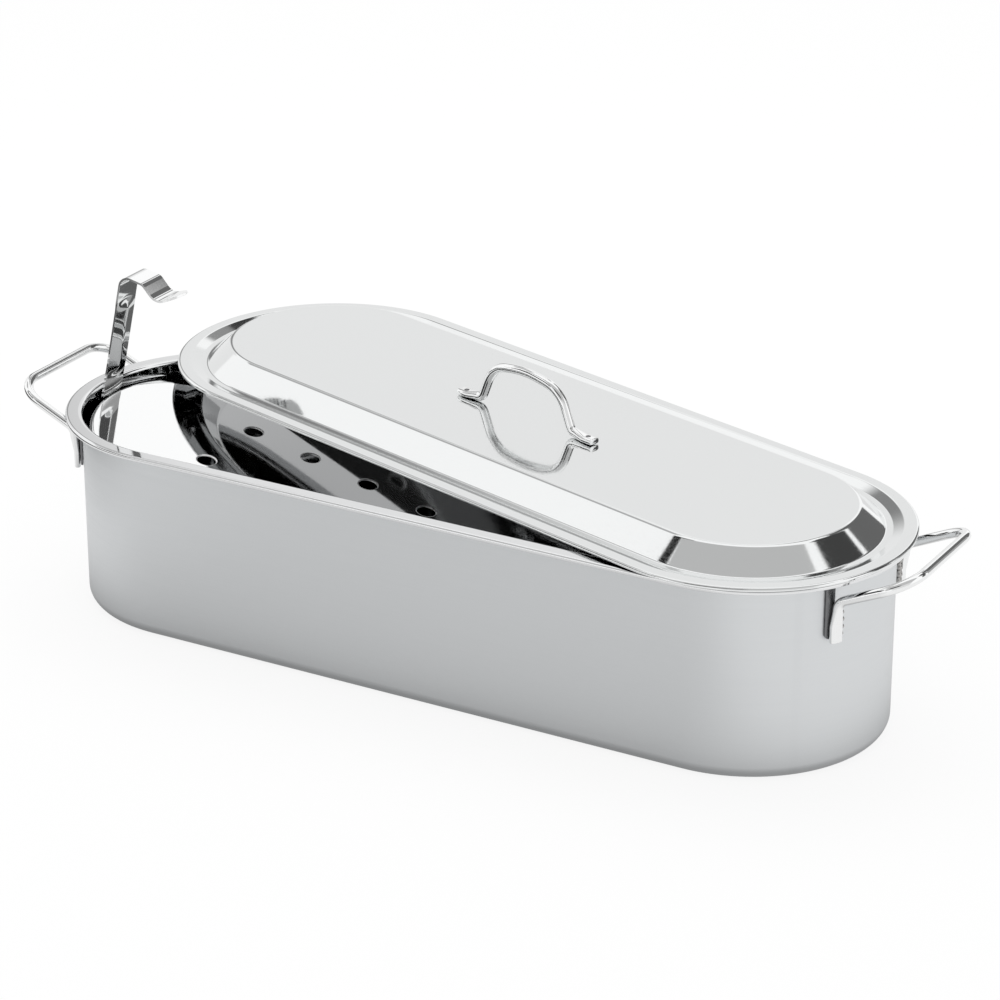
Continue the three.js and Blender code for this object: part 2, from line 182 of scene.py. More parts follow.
def grid_faces(rows, columns, round_columns=False):
    """Corners of the faces of a grid of points; round_columns joins the last column to the first."""
    index = np.arange(rows * columns).reshape(rows, columns)
    if round_columns:
        index = np.hstack([index, index[:, :1]])
    corners = [index[:-1, :-1], index[1:, :-1], index[1:, 1:], index[:-1, 1:]]
    return np.stack(corners, axis=-1).reshape(-1, 4)


def closed_mesh(name, points, faces, face_finish=None, is_shell=False):
    """A smooth mesh from points in mm: doubles merged, faces turned outwards unless it is an open shell."""
    mesh = bpy.data.meshes.new(name)
    mesh.from_pydata(np.asarray(points, float).reshape(-1, 3) * MM, [], faces)
    if face_finish is not None:
        mesh.polygons.foreach_set("material_index", np.asarray(face_finish, np.int32))
    work = bmesh.new()
    work.from_mesh(mesh)
    bmesh.ops.remove_doubles(work, verts=work.verts, dist=MERGE_DISTANCE)
    if not is_shell:
        bmesh.ops.recalc_face_normals(work, faces=work.faces)
    work.to_mesh(mesh)
    work.free()
    mesh.shade_smooth()
    return mesh


print("faces between 3 rows of 4 points:", len(grid_faces(3, 4)))

# %% [markdown]
# Every piece rides on a body of the frame and may stand for a node of the imported model, which
# it then hides. It prints how far it is from that node, so that a wrong size shows at once.

# %% Pieces
def piece(mesh, body, nodes=()):
    """Adds a mesh as a piece that rides on a body and stands for nodes, which it hides."""
    obj = bpy.data.objects.new(mesh.name, mesh)
    bpy.context.scene.collection.objects.link(obj)
    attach(obj, body)
    if nodes:
        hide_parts(*nodes)
    return obj


def report_fit(obj, nodes):
    """Prints how far the piece's box, modifiers included, lies from the box of its nodes, in mm."""
    shown = obj.evaluated_get(bpy.context.evaluated_depsgraph_get())
    corners = np.array([shown.matrix_world @ Vector(c) for c in shown.bound_box])
    low = np.min([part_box(n)[0] for n in nodes], axis=0)
    high = np.max([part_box(n)[1] for n in nodes], axis=0)
    off = np.r_[corners.min(axis=0) - low, corners.max(axis=0) - high] / MM
    print(obj.name, "triangles", len(shown.data.loop_triangles), "box off by", off.round(2).tolist())


# %% [markdown]
# The pan, the lid and the edge of the rack are all long ovals: two half circles joined by straight
# sides. One surface serves for the pan and the lid. A point of the section at radius r stands at
# middle(t) + r outward(t), where middle runs along the short line between the two centres, and
# outward turns round the ends.

# %% A section carried round a long oval
END_STEPS = 96  # round each half circle
SIDE_STEPS = 36  # along each straight side


def oval(straight):
    """Middle points and outward directions all round: a half circle, a side, a half circle, a side."""
    turn = np.linspace(-np.pi / 2, np.pi / 2, END_STEPS + 1)
    half_round = np.stack([np.cos(turn), np.sin(turn)], axis=1)
    side = np.linspace(straight / 2, -straight / 2, SIDE_STEPS + 1)[1:-1]
    across = np.tile([0.0, 1.0], (len(side), 1))
    right = np.tile([straight / 2, 0.0], (END_STEPS + 1, 1))
    back = np.stack([side, 0 * side], axis=1)
    middle = np.concatenate([right, back, -right, -back])
    outward = np.concatenate([half_round, across, -half_round, -across])
    return middle, outward


def pressed_sheet(corners, bends, straight):
    """Points middle(t) + r outward(t) at height z, for each (r, z) of a sheet's section and each t, with
    their faces and, for each face, whether it lies on the first side of the sheet."""
    section, near_rows = sheet_section(corners, bends, SHEET)
    middle, outward = oval(straight)
    flat = middle[None] + section[:, :1, None] * outward[None]
    height = np.broadcast_to(section[:, 1, None, None], flat.shape[:2] + (1,))
    rows, columns = flat.shape[:2]
    is_near = np.repeat(np.arange(rows - 1) < near_rows, columns)
    return np.concatenate([flat, height], axis=-1), grid_faces(rows, columns, round_columns=True), is_near


print("points once round an oval:", len(oval(0.0)[0]))

# %% [markdown]
# The pan is one drawn sheet: a flat floor, a rounded corner, an upright wall, and a rim that turns
# outwards and ends in a small turned-down edge. Its inside and the top of its rim are polished,
# and its outside is brushed to a satin finish, so the two faces of the sheet get two materials.

# %% Pan
PAN_STRAIGHT = 314.0  # length of the straight sides
PAN_RADIUS = 73.0
PAN_HEIGHT = 106.0
FLOOR_BEND = 6.2
RIM_BEND = 1.6
RIM_WIDTH = 8.6
RIM_LIP = 2.4
EDGE_BEND = 0.7
PAN_INSIDE = PAN_RADIUS - SHEET
RIM_RADIUS = PAN_RADIUS + RIM_WIDTH
OUTSIDE, INSIDE = 0, 1  # places in the pan's list of materials


def make_pan():
    """Section: out along the floor, up the wall, out along the rim and down its edge."""
    corners = [
        (0, SHEET),
        (PAN_INSIDE, SHEET),
        (PAN_INSIDE, PAN_HEIGHT),
        (RIM_RADIUS, PAN_HEIGHT),
        (RIM_RADIUS, PAN_HEIGHT - RIM_LIP),
    ]
    bends = [0, FLOOR_BEND, RIM_BEND, EDGE_BEND, 0]
    points, faces, is_near = pressed_sheet(corners, bends, PAN_STRAIGHT)
    mesh = closed_mesh("pan_body_fine", points, faces, np.where(is_near, INSIDE, OUTSIDE))
    return piece(mesh, "pan", ["pan_body"])


pan = make_pan()
report_fit(pan, ["pan_body"])

# %% [markdown]
# A bent wire is a circle carried along its middle line. The circle stands square to the line, and
# a fixed direction, which no stretch of the wire ever follows, keeps it from twisting. Each end is
# closed by a small rounding and a flat disc.

# %% A wire along a line
WIRE_RADIUS = 2.5
WIRE_SIDES = 40
WIRE_END_ROUNDING = 0.7
WIRE_END_STEPS = 5
EXAMPLE_LENGTH = 40.0


def wire_surface(line, reference):
    """Rings line + radius (cos a side + sin a lift), side = along x reference, lift = side x along. Near
    each end the radius shrinks as a quarter circle does, in place of the line's last two points."""
    along = np.gradient(line, axis=0)
    along /= np.linalg.norm(along, axis=1, keepdims=True)
    quarter = np.linspace(0, np.pi / 2, WIRE_END_STEPS + 1)[:-1]
    end_radius = np.r_[0, WIRE_RADIUS - WIRE_END_ROUNDING * (1 - np.sin(quarter))]
    inset = np.r_[0, WIRE_END_ROUNDING * (1 - np.cos(quarter))]
    keep = slice(2, -2)
    ends = len(inset)
    along = np.concatenate([np.tile(along[0], (ends, 1)), along[keep], np.tile(along[-1], (ends, 1))])
    head = line[0] + inset[:, None] * along[0]
    tail = line[-1] - inset[::-1, None] * along[-1]
    middle = np.concatenate([head, line[keep], tail])
    radius = np.r_[end_radius, np.full(len(line[keep]), WIRE_RADIUS), end_radius[::-1]]
    side = np.cross(along, reference)
    side /= np.linalg.norm(side, axis=1, keepdims=True)
    lift = np.cross(side, along)
    angle = np.linspace(0, 2 * np.pi, WIRE_SIDES, endpoint=False)[:, None]
    circle = np.cos(angle) * side[:, None] + np.sin(angle) * lift[:, None]
    return middle[:, None] + radius[:, None, None] * circle


def round_mesh(name, points):
    """The closed mesh of rings of points, such as a wire's."""
    return closed_mesh(name, points, grid_faces(*points.shape[:2], round_columns=True))


example_line = stretch(np.zeros(3), np.array([EXAMPLE_LENGTH, 0, 0]))
example = wire_surface(example_line, np.array([0, 0, 1.0]))
print("rings on", EXAMPLE_LENGTH, "mm of straight wire, and points on a ring:", example.shape[:2])

# %% [markdown]
# The feet of the handles are pressed flat in a die before welding. So there the circle changes
# gradually into a rounded rectangle: each point moves, by a share that grows from 0 to 1 along the
# foot, to where the die would put it.

# %% Pressed feet
FOOT_THICKNESS = 3.3
FOOT_WIDTH = 6.8
FOOT_FADE = 5.0  # length of wire over which the pressing dies out
FOOT_SQUARENESS = 0.6  # 1 would be an ellipse, 0 a rectangle


def smooth_step(value, low, high):
    """0 below low, 1 above high and 3 s^2 - 2 s^3 between them."""
    s = np.clip((value - low) / (high - low), 0, 1)
    return s * s * (3 - 2 * s)


def power(value, exponent):
    """The value's size raised to a power, with the value's sign."""
    return np.sign(value) * np.abs(value) ** exponent


def press_feet(points, amount, middle, front, across):
    """Turns a circle into a rounded rectangle. With p and q a point's height and width over the radius,
    height = half thickness p^e and width = half width q^e. The back of the foot stays where it is."""
    offset = points - middle
    height = (offset * front).sum(axis=-1, keepdims=True)
    width = (offset * across).sum(axis=-1, keepdims=True)
    half_thickness = FOOT_THICKNESS / 2
    from_middle = half_thickness * power(height / WIRE_RADIUS, FOOT_SQUARENESS)
    new_height = from_middle + half_thickness - WIRE_RADIUS
    new_width = FOOT_WIDTH / 2 * power(width / WIRE_RADIUS, FOOT_SQUARENESS)
    move = (new_height - height) * front + (new_width - width) * across
    return points + amount[..., None] * move


print("wire of", 2 * WIRE_RADIUS, "mm pressed to", FOOT_WIDTH, "by", FOOT_THICKNESS, "mm")

# %% [markdown]
# A handle stands on two feet at each round end of the pan, with a thin pad between the wall and
# each foot. That stack gives a foot's distance from the middle of the round end, and the handle's
# span then gives its angle. The left end of the pan is the right end turned half round, so what
# stands there is made once and taken to both ends.

# %% Where the feet stand
WELD_GAP = 0.3
HANDLE_SPAN = 79.0
FOOT_END_BELOW_RIM = 34.0
FOOT_LENGTH = 21.5
PAD_THICKNESS = 1.2
FOOT_RADIUS = PAN_RADIUS + WELD_GAP + PAD_THICKNESS + WELD_GAP + WIRE_RADIUS
FOOT_ANGLE = np.arcsin(HANDLE_SPAN / 2 / FOOT_RADIUS)
FOOT_X = FOOT_RADIUS * np.cos(FOOT_ANGLE)
FOOT_LOW = PAN_HEIGHT - FOOT_END_BELOW_RIM
FOOT_HIGH = FOOT_LOW + FOOT_LENGTH
ENDS = {"right": 1, "left": -1}


def at_end(points, end):
    """Points set out from the middle of a round end, taken to that end: half a turn for the left one."""
    points = np.array(points, float)
    points[..., :2] *= end
    points[..., 0] += end * PAN_STRAIGHT / 2
    return points


print("angle of the feet to both sides, in degrees:", round(float(np.degrees(FOOT_ANGLE)), 1))

# %% [markdown]
# Each side handle is one bent wire: up the wall, outwards and upwards to the grip, across, and
# back the same way. Its feet are pressed square to the pan's round wall.

# %% Side handles
HANDLE_REACH = 36.8
HANDLE_SLOPE = radians(24.7)
FOOT_BEND = 6.5
GRIP_CORNER_BEND = 16.0


def side_handle_line():
    """Up the foot, out along the slope, across the grip and back, with every corner an arc."""
    grip_x = FOOT_X + HANDLE_REACH
    grip_z = FOOT_HIGH + HANDLE_REACH * np.tan(HANDLE_SLOPE)
    half = HANDLE_SPAN / 2
    corners = [
        (FOOT_X, -half, FOOT_LOW),
        (FOOT_X, -half, FOOT_HIGH),
        (grip_x, -half, grip_z),
        (grip_x, half, grip_z),
        (FOOT_X, half, FOOT_HIGH),
        (FOOT_X, half, FOOT_LOW),
    ]
    return bent_line(corners, [0, FOOT_BEND, GRIP_CORNER_BEND, GRIP_CORNER_BEND, FOOT_BEND, 0])


def make_side_handle(side, end):
    """The wire of one end of the pan, with its feet pressed flat towards the wall."""
    reference = np.array([-np.sin(HANDLE_SLOPE), 0, np.cos(HANDLE_SLOPE)])
    points = wire_surface(side_handle_line(), reference)
    x, y, z = np.moveaxis(points, -1, 0)
    hand = np.sign(y)
    zero = np.zeros_like(x)
    press_high = FOOT_HIGH - bend_length(FOOT_BEND, np.pi / 2 - HANDLE_SLOPE)
    amount = 1 - smooth_step(z, press_high - FOOT_FADE, press_high)
    middle = np.stack([zero + FOOT_X, hand * HANDLE_SPAN / 2, z], axis=-1)
    front = np.stack([zero + np.cos(FOOT_ANGLE), hand * np.sin(FOOT_ANGLE), zero], axis=-1)
    across = np.stack([-hand * np.sin(FOOT_ANGLE), zero + np.cos(FOOT_ANGLE), zero], axis=-1)
    points = at_end(press_feet(points, amount, middle, front, across), end)
    return piece(round_mesh(f"handle_{side}_fine", points), "pan", [f"handle_{side}"])


handles = {side: make_side_handle(side, end) for side, end in ENDS.items()}
for side, handle in handles.items():
    report_fit(handle, [f"handle_{side}"])

# %% [markdown]
# Behind each foot is a small pad of strip steel with a round lower end, welded to the wall. It is
# a flat outline given a thickness, and a Bevel modifier breaks its edges, as tumbling does.

# %% Pads
PAD_WIDTH = 5.0
PAD_SHORT_OF_FOOT = 1.3  # how far a foot reaches below its pad
PAD_OFFSET = 2.1  # middle of a pad from the middle of its foot, away from the grip
PAD_ANGLE = FOOT_ANGLE + PAD_OFFSET / PAN_RADIUS
PAD_LOW = FOOT_LOW + PAD_SHORT_OF_FOOT
PAD_HIGH = PAN_HEIGHT - SHEET - RIM_BEND - WELD_GAP
PAD_STEPS = 14  # round its lower end
PAD_EDGE = 0.3
FEET = [
    (side, end, place, hand)
    for side, end in ENDS.items()
    for place, hand in (("front", -end), ("rear", end))
]


def turned(points, angle):
    """Points turned about the Z axis: x cos - y sin, x sin + y cos."""
    x, y, z = np.moveaxis(np.asarray(points, float), -1, 0)
    c, s = np.cos(angle), np.sin(angle)
    return np.stack([x * c - y * s, x * s + y * c, z], axis=-1)


def break_edges(obj, width, steps, sharper_than):
    """A Bevel modifier that rounds the edges at which the surface turns by more than so many degrees."""
    bevel = obj.modifiers.new("broken edges", "BEVEL")
    bevel.width = width * MM
    bevel.segments = steps
    bevel.limit_method = "ANGLE"
    bevel.angle_limit = radians(sharper_than)
    bevel.harden_normals = True


def pad_outline():
    """Across and up: half a circle round the lower end, and the two upper corners."""
    angle = np.linspace(np.pi, 2 * np.pi, PAD_STEPS + 1)
    half = PAD_WIDTH / 2
    round_end = np.stack([half * np.cos(angle), PAD_LOW + half + half * np.sin(angle)], axis=1)
    return np.vstack([round_end, [(half, PAD_HIGH), (-half, PAD_HIGH)]])


def make_pad(side, end, place, hand):
    """The outline stands at the wall and at its outer face, turned round the end to its foot."""
    outline = pad_outline()
    count = len(outline)
    wall = np.c_[np.full(count, PAN_RADIUS + WELD_GAP), outline]
    outer = wall + [PAD_THICKNESS, 0, 0]
    points = turned(np.concatenate([wall, outer]), hand * PAD_ANGLE)
    faces = grid_faces(2, count, round_columns=True).tolist()
    faces += [list(range(count)), list(range(count, 2 * count))]
    mesh = closed_mesh(f"handle_pad_{side}_{place}_fine", at_end(points, end), faces)
    pad = piece(mesh, "pan", [f"handle_pad_{side}_{place}"])
    break_edges(pad, PAD_EDGE, steps=3, sharper_than=40)
    report_fit(pad, [f"handle_pad_{side}_{place}"])
    return pad


pads = [make_pad(*foot) for foot in FEET]

# %% [markdown]
# On the side towards the grip each foot is welded to the wall by a bead. A bead is a tube along the
# foot whose radius swells and shrinks with the welder's steps and runs out to nothing at both ends.

# %% Weld beads
BEAD_LENGTH = 16.0
BEAD_RADIUS = 1.5
BEAD_RIPPLE = 0.30  # share by which the radius swells and shrinks
BEAD_STEP = 3.9  # length of one ripple
BEAD_OUT = 1.3  # middle of the bead from the wall
BEAD_START = 1.0  # above the lower end of the foot
BEAD_BESIDE_FOOT = 0.5
BEAD_LOW = FOOT_LOW + BEAD_START
BEAD_ANGLE = FOOT_ANGLE - (FOOT_WIDTH / 2 + BEAD_BESIDE_FOOT) / PAN_RADIUS
BEAD_RINGS = 81
BEAD_SIDES = 16


def make_bead(side, end, place, hand):
    """Rings of radius sqrt(1 - s^4) (1 + ripple sin(height)), s from -1 at one end to 1 at the other."""
    share = np.sin(np.linspace(-np.pi / 2, np.pi / 2, BEAD_RINGS))
    height = BEAD_LOW + BEAD_LENGTH * (share + 1) / 2
    ripple = 1 + BEAD_RIPPLE * np.sin(2 * np.pi * height / BEAD_STEP)
    radius = (BEAD_RADIUS * np.sqrt(np.clip(1 - share**4, 0, 1)) * ripple)[:, None]
    angle = np.linspace(0, 2 * np.pi, BEAD_SIDES, endpoint=False)
    x = PAN_RADIUS + BEAD_OUT + radius * np.cos(angle)
    y = radius * np.sin(angle)
    z = np.broadcast_to(height[:, None], x.shape)
    points = turned(np.stack([x, y, z], axis=-1), hand * BEAD_ANGLE)
    return piece(round_mesh(f"weld_bead_{side}_{place}", at_end(points, end)), "pan")


beads = [make_bead(*foot) for foot in FEET]
print("weld beads:", len(beads), "each", BEAD_LENGTH, "mm long")

# %% [markdown]
# The lid is one pressed sheet. From the middle outwards it has a flat panel, a sloping shoulder, a
# channel that seats inside the pan's rim, a short slope up, a flat edge and a turned-down lip. It
# is drawn level about its own middle, then turned and moved to where it lies askew on the pan.

# %% Lid
LID_END_PLAY = 2.0
LID_OVERHANG = 2.4
LID_LIP = 1.9
LID_FLANGE = 7.0
LID_SLOPE = 6.0  # width of the slope up from the channel
CHANNEL_FLOOR = 3.4
CHANNEL_DEPTH = 2.0
SHOULDER_WIDTH = 12.8
PANEL_RISE = 9.3
SLOPE_BEND = 3.0
CHANNEL_BEND = 1.4
PANEL_BEND = 2.4
REST_GAP = 0.3
LID_TURN = radians(-16.46)
LID_PLACE = np.array([8.3, 42.0, PAN_HEIGHT + REST_GAP + CHANNEL_DEPTH])
LID_STRAIGHT = PAN_STRAIGHT - 2 * LID_END_PLAY
LID_RADIUS = RIM_RADIUS + LID_OVERHANG
LID_TOP, LID_UNDERSIDE = 0, 1  # places in the lid's list of materials


def on_the_pan(points):
    """Points of the level lid, turned about the vertical and moved to where the lid lies."""
    return turned(points, LID_TURN) + LID_PLACE


def make_lid():
    """Section: along the panel, down the shoulder, along the channel, up the slope, out and down."""
    slope_top = LID_RADIUS - LID_FLANGE
    channel_outer = slope_top - LID_SLOPE
    channel_inner = channel_outer - CHANNEL_FLOOR
    corners = [
        (0, PANEL_RISE + SHEET),
        (channel_inner - SHOULDER_WIDTH, PANEL_RISE + SHEET),
        (channel_inner, SHEET - CHANNEL_DEPTH),
        (channel_outer, SHEET - CHANNEL_DEPTH),
        (slope_top, SHEET),
        (LID_RADIUS, SHEET),
        (LID_RADIUS, SHEET - LID_LIP),
    ]
    bends = [0, PANEL_BEND, CHANNEL_BEND, CHANNEL_BEND, SLOPE_BEND, EDGE_BEND, 0]
    points, faces, is_near = pressed_sheet(corners, bends, LID_STRAIGHT)
    finish = np.where(is_near, LID_TOP, LID_UNDERSIDE)
    mesh = closed_mesh("lid_shell_fine", on_the_pan(points), faces, finish)
    return piece(mesh, "lid", ["lid_shell"])


lid = make_lid()
report_fit(lid, ["lid_shell"])

# %% [markdown]
# The lid's handle is a wire too: two feet that lie on the panel, legs that lean inwards and a
# slightly arched bridge. The feet are pressed flat where they are spot-welded down.

# %% Lid handle
BRIDGE_LENGTH = 99.0
BRIDGE_FOOT = 16.5
BRIDGE_CROWN = 26.2
BRIDGE_SHOULDER = 22.4
BRIDGE_LEAN = 8.5
BRIDGE_FOOT_BEND = 4.5
BRIDGE_SHOULDER_BEND = 18.0
BRIDGE_CROWN_BEND = 60.0
BRIDGE_SHIFT = np.array([2.5, -4.0, PANEL_RISE + SHEET + WELD_GAP])
FOOT_IN = BRIDGE_LENGTH / 2 - BRIDGE_FOOT  # where a foot meets its leg, from the middle


def bridge_line():
    """Tip, foot, leg, crown, and the same mirrored, in the plane that stands along the lid."""
    right = [
        (FOOT_IN - BRIDGE_LEAN, 0, BRIDGE_SHOULDER),
        (FOOT_IN, 0, WIRE_RADIUS),
        (BRIDGE_LENGTH / 2, 0, WIRE_RADIUS),
    ]
    left = [(-x, y, z) for x, y, z in reversed(right)]
    half_bends = [0, BRIDGE_FOOT_BEND, BRIDGE_SHOULDER_BEND]
    bends = [*half_bends, BRIDGE_CROWN_BEND, *reversed(half_bends)]
    return bent_line([*left, (0, 0, BRIDGE_CROWN), *right], bends)


def make_lid_handle():
    """The wire along the bridge line, on the lid, with its feet pressed flat towards the panel."""
    points = wire_surface(bridge_line(), np.array([0, 1.0, 0]))
    x = points[..., 0]
    zero = np.zeros_like(x)
    leg_slope = np.arctan2(BRIDGE_SHOULDER - WIRE_RADIUS, BRIDGE_LEAN)
    press_in = FOOT_IN + bend_length(BRIDGE_FOOT_BEND, leg_slope)
    amount = smooth_step(np.abs(x), press_in, press_in + FOOT_FADE)
    middle = np.stack([x, zero, zero + WIRE_RADIUS], axis=-1)
    points = press_feet(points, amount, middle, np.array([0, 0, 1.0]), np.array([0, 1.0, 0]))
    mesh = round_mesh("lid_handle_fine", on_the_pan(points + BRIDGE_SHIFT))
    return piece(mesh, "lid", ["lid_handle"])


lid_handle = make_lid_handle()
report_fit(lid_handle, ["lid_handle"])

# %% [markdown]
# A spot welder leaves a small round mark: a raised ring about a pit. It is one profile turned about
# an upright axis, twice on each foot.

# %% Spot welds
SPOT_RADIUS = 1.4
SPOT_RISE = 0.30
SPOT_SINK = 0.3  # how far the mark reaches into the foot
SPOT_PLACES = (39.0, 45.0)  # along the foot, from the middle of the handle
SPOT_RINGS = 17
SPOT_SIDES = 24
FOOT_TOP = FOOT_THICKNESS + BRIDGE_SHIFT[2]


def spot_profile():
    """Out from the axis: height = rise sin^2(pi r / radius), then down into the foot and back in."""
    share = np.linspace(0, 1, SPOT_RINGS)
    top = np.stack([SPOT_RADIUS * share, SPOT_RISE * np.sin(np.pi * share) ** 2], axis=1)
    return np.vstack([top, [(SPOT_RADIUS, -SPOT_SINK), (0, -SPOT_SINK)]])


def make_spot(name, along):
    """The profile turned about the axis that stands on the foot, that far along the handle."""
    radius, height = spot_profile().T[..., None]
    angle = np.linspace(0, 2 * np.pi, SPOT_SIDES, endpoint=False)
    x = along + BRIDGE_SHIFT[0] + radius * np.cos(angle)
    y = BRIDGE_SHIFT[1] + radius * np.sin(angle)
    z = np.broadcast_to(FOOT_TOP + height, x.shape)
    mesh = round_mesh(name, on_the_pan(np.stack([x, y, z], axis=-1)))
    return piece(mesh, "lid")


spots = [
    make_spot(f"spot_weld_{side}_{number}", end * place)
    for side, end in ENDS.items()
    for number, place in enumerate(SPOT_PLACES, start=1)
]
print("spot welds:", len(spots), "each", 2 * SPOT_RADIUS, "mm across")

# %% [markdown]
# The rack is a flat plate with a turned-down edge and two rows of punched holes. A boolean cut
# would leave long thin faces round every hole, which shade badly on a mirror. Here a grid covers
# the plate, a square of it round each hole is left out, and rings that change from the hole's
# circle to that square fill the place, so every face has a decent shape.

# %% Grid of the rack's plate
RACK_PLAY = 4.7
RACK_LIP = 4.0
RACK_BEND = 1.8
HOLE_RADIUS = 5.0
HOLE_PITCH = 36.8
HOLES_PER_ROW = 9
HOLE_ROW_SPACING = 45.5
RACK_RADIUS = PAN_INSIDE - RACK_PLAY
FLAT_RADIUS = RACK_RADIUS - RACK_BEND - SHEET
HOLE_X = (np.arange(HOLES_PER_ROW) - (HOLES_PER_ROW - 1) / 2) * HOLE_PITCH
HOLE_Y = np.array([-0.5, 0.5]) * HOLE_ROW_SPACING
SQUARE = PAN_STRAIGHT / 2 - HOLE_X[-1]  # half the side of the square round a hole
SQUARE_STEPS = 8
BETWEEN_STEPS = 4  # between two squares of a row
MIDDLE_STEPS = 3  # from the middle line to a row
OUTER_STEPS = 12  # from a row to the edge
ROUND_STEPS = 14  # from a centre to the round end


def grid_lines():
    """Places of the grid's lines along and across the plate: on the squares' sides, in them and between."""
    squares = [np.linspace(c - SQUARE, c + SQUARE, SQUARE_STEPS + 1) for c in HOLE_X]
    steps = BETWEEN_STEPS + 1
    between = [np.linspace(c + SQUARE, c + HOLE_PITCH - SQUARE, steps)[1:-1] for c in HOLE_X[:-1]]
    row = HOLE_Y[1]
    near = np.linspace(0, row - SQUARE, MIDDLE_STEPS + 1)[1:-1]
    holes = np.linspace(row - SQUARE, row + SQUARE, SQUARE_STEPS + 1)
    turn = np.linspace(np.arcsin((row + SQUARE) / FLAT_RADIUS), np.pi / 2, OUTER_STEPS + 1)[1:]
    half = np.concatenate([near, holes, FLAT_RADIUS * np.sin(turn)])
    return np.sort(np.concatenate([*squares, *between])), np.r_[-half[::-1], 0, half]


GRID_X, GRID_Y = grid_lines()
ROUND_REACH = np.sqrt(np.maximum(FLAT_RADIUS**2 - GRID_Y**2, 0))  # of the flat part, beyond a centre


def plate_grid():
    """The grid between the two centres, without the squares round the holes."""
    points = np.stack(np.meshgrid(GRID_X, GRID_Y, indexing="ij"), axis=-1).reshape(-1, 2)
    faces = grid_faces(len(GRID_X), len(GRID_Y))
    middle = points[faces].mean(axis=1)
    dx = np.abs(middle[:, 0, None] - HOLE_X).min(axis=1)
    dy = np.abs(middle[:, 1, None] - HOLE_Y).min(axis=1)
    return points, faces[(dx > SQUARE) | (dy > SQUARE)]


def round_end_grid(end):
    """Beyond a centre: x = centre + share sqrt(radius^2 - y^2), for shares from 0 to 1."""
    share = np.linspace(0, 1, ROUND_STEPS + 1)[:, None]
    x = end * (PAN_STRAIGHT / 2 + share * ROUND_REACH)
    points = np.stack([x, np.broadcast_to(GRID_Y, x.shape)], axis=-1)
    return points.reshape(-1, 2), grid_faces(*x.shape)[:, ::end]


print("grid lines of the rack, across and along:", len(GRID_X), len(GRID_Y))

# %% [markdown]
# A punch drags the edge of a hole down with it, so the edge is rolled over as a quarter circle.
# Beyond it the rings go straight from the circle to the square. The plate's own edge is turned
# down in a press: a quarter circle and a short straight, all round.

# %% Holes and edge of the rack
HOLE_ROLL = 0.75  # rounding of the punched edge
ROLL_STEPS = 5
SPREAD_SHARES = np.array([0.04, 0.15, 0.35, 0.65, 1.0])  # where rings stand from circle to square
EDGE_STEPS = 8


def hole_rings():
    """Rings from a hole's edge to its square, with how far each lies below the plate. Radius and depth
    follow a quarter circle on the rolled edge; then a point is (1 - share) circle + share square."""
    step = np.linspace(-SQUARE, SQUARE, SQUARE_STEPS + 1)[:-1]
    side = np.full(SQUARE_STEPS, SQUARE)
    x = np.concatenate([step, side, -step, -side])
    y = np.concatenate([-side, step, side, -step])
    square = np.stack([x, y], axis=1)
    circle = square / np.linalg.norm(square, axis=1, keepdims=True)
    angle = np.linspace(0, np.pi / 2, ROLL_STEPS + 1)
    rolled = (HOLE_RADIUS + HOLE_ROLL * (1 - np.cos(angle)))[:, None, None] * circle
    share = SPREAD_SHARES[:, None, None]
    spread = (1 - share) * rolled[-1] + share * square
    drop = np.r_[HOLE_ROLL * (1 - np.sin(angle)), np.zeros(len(share))]
    return np.concatenate([rolled, spread]), drop


def rack_edge():
    """Rows of points flat part + offset outwards, and the height of each point."""
    right = np.stack([PAN_STRAIGHT / 2 + ROUND_REACH, GRID_Y], axis=1)
    right_out = np.stack([ROUND_REACH, GRID_Y], axis=1) / FLAT_RADIUS
    back_x = GRID_X[::-1][1:-1]
    back = np.stack([back_x, np.full(len(back_x), FLAT_RADIUS)], axis=1)
    back_out = np.tile([0.0, 1.0], (len(back_x), 1))
    loop = np.concatenate([right, back, -right, -back])
    out = np.concatenate([right_out, back_out, -right_out, -back_out])
    radius = RACK_BEND + SHEET
    angle = np.linspace(0, np.pi / 2, EDGE_STEPS + 1)
    offset = np.r_[radius * np.sin(angle), radius]
    height = np.r_[RACK_LIP - radius * (1 - np.cos(angle)), 0]
    flat = loop[None] + offset[:, None, None] * out[None]
    return flat, np.repeat(height, len(loop))


print("holes:", len(HOLE_X) * len(HOLE_Y), "each", 2 * HOLE_RADIUS, "mm across")

# %% [markdown]
# The rack isn't level. Its left strip stands against one end wall and the bend of its right strip
# against the other, and its low end is on the floor. That fixes its tilt, by the same sum that a
# ladder between two walls gives.

# %% Where the rack stands
STRIP_WIDTH = 17.0
STRIP_THICKNESS = 1.2
STRIP_HEIGHT = 73.8
STRIP_BEND = 5.5
STRIP_INNER = PAN_STRAIGHT / 2 + RACK_RADIUS + WELD_GAP
STRIP_OUTER = STRIP_INNER + STRIP_THICKNESS
UNDER_GRIP = RACK_LIP + STRIP_HEIGHT - STRIP_THICKNESS
WALL_REACH = PAN_STRAIGHT / 2 + np.sqrt(PAN_INSIDE**2 - STRIP_WIDTH**2 / 4) - REST_GAP
BEND_HEIGHT = UNDER_GRIP - STRIP_BEND
LADDER = np.hypot(2 * STRIP_OUTER, BEND_HEIGHT)
RACK_TILT = np.arctan2(BEND_HEIGHT, 2 * STRIP_OUTER) + np.arccos(min(1, 2 * WALL_REACH / LADDER))
RACK_PLACE = np.array([
    STRIP_OUTER * np.cos(RACK_TILT) - WALL_REACH,
    0,
    SHEET + REST_GAP + STRIP_OUTER * np.sin(RACK_TILT),
])
print("rack tilt in degrees:", round(float(np.degrees(RACK_TILT)), 2))


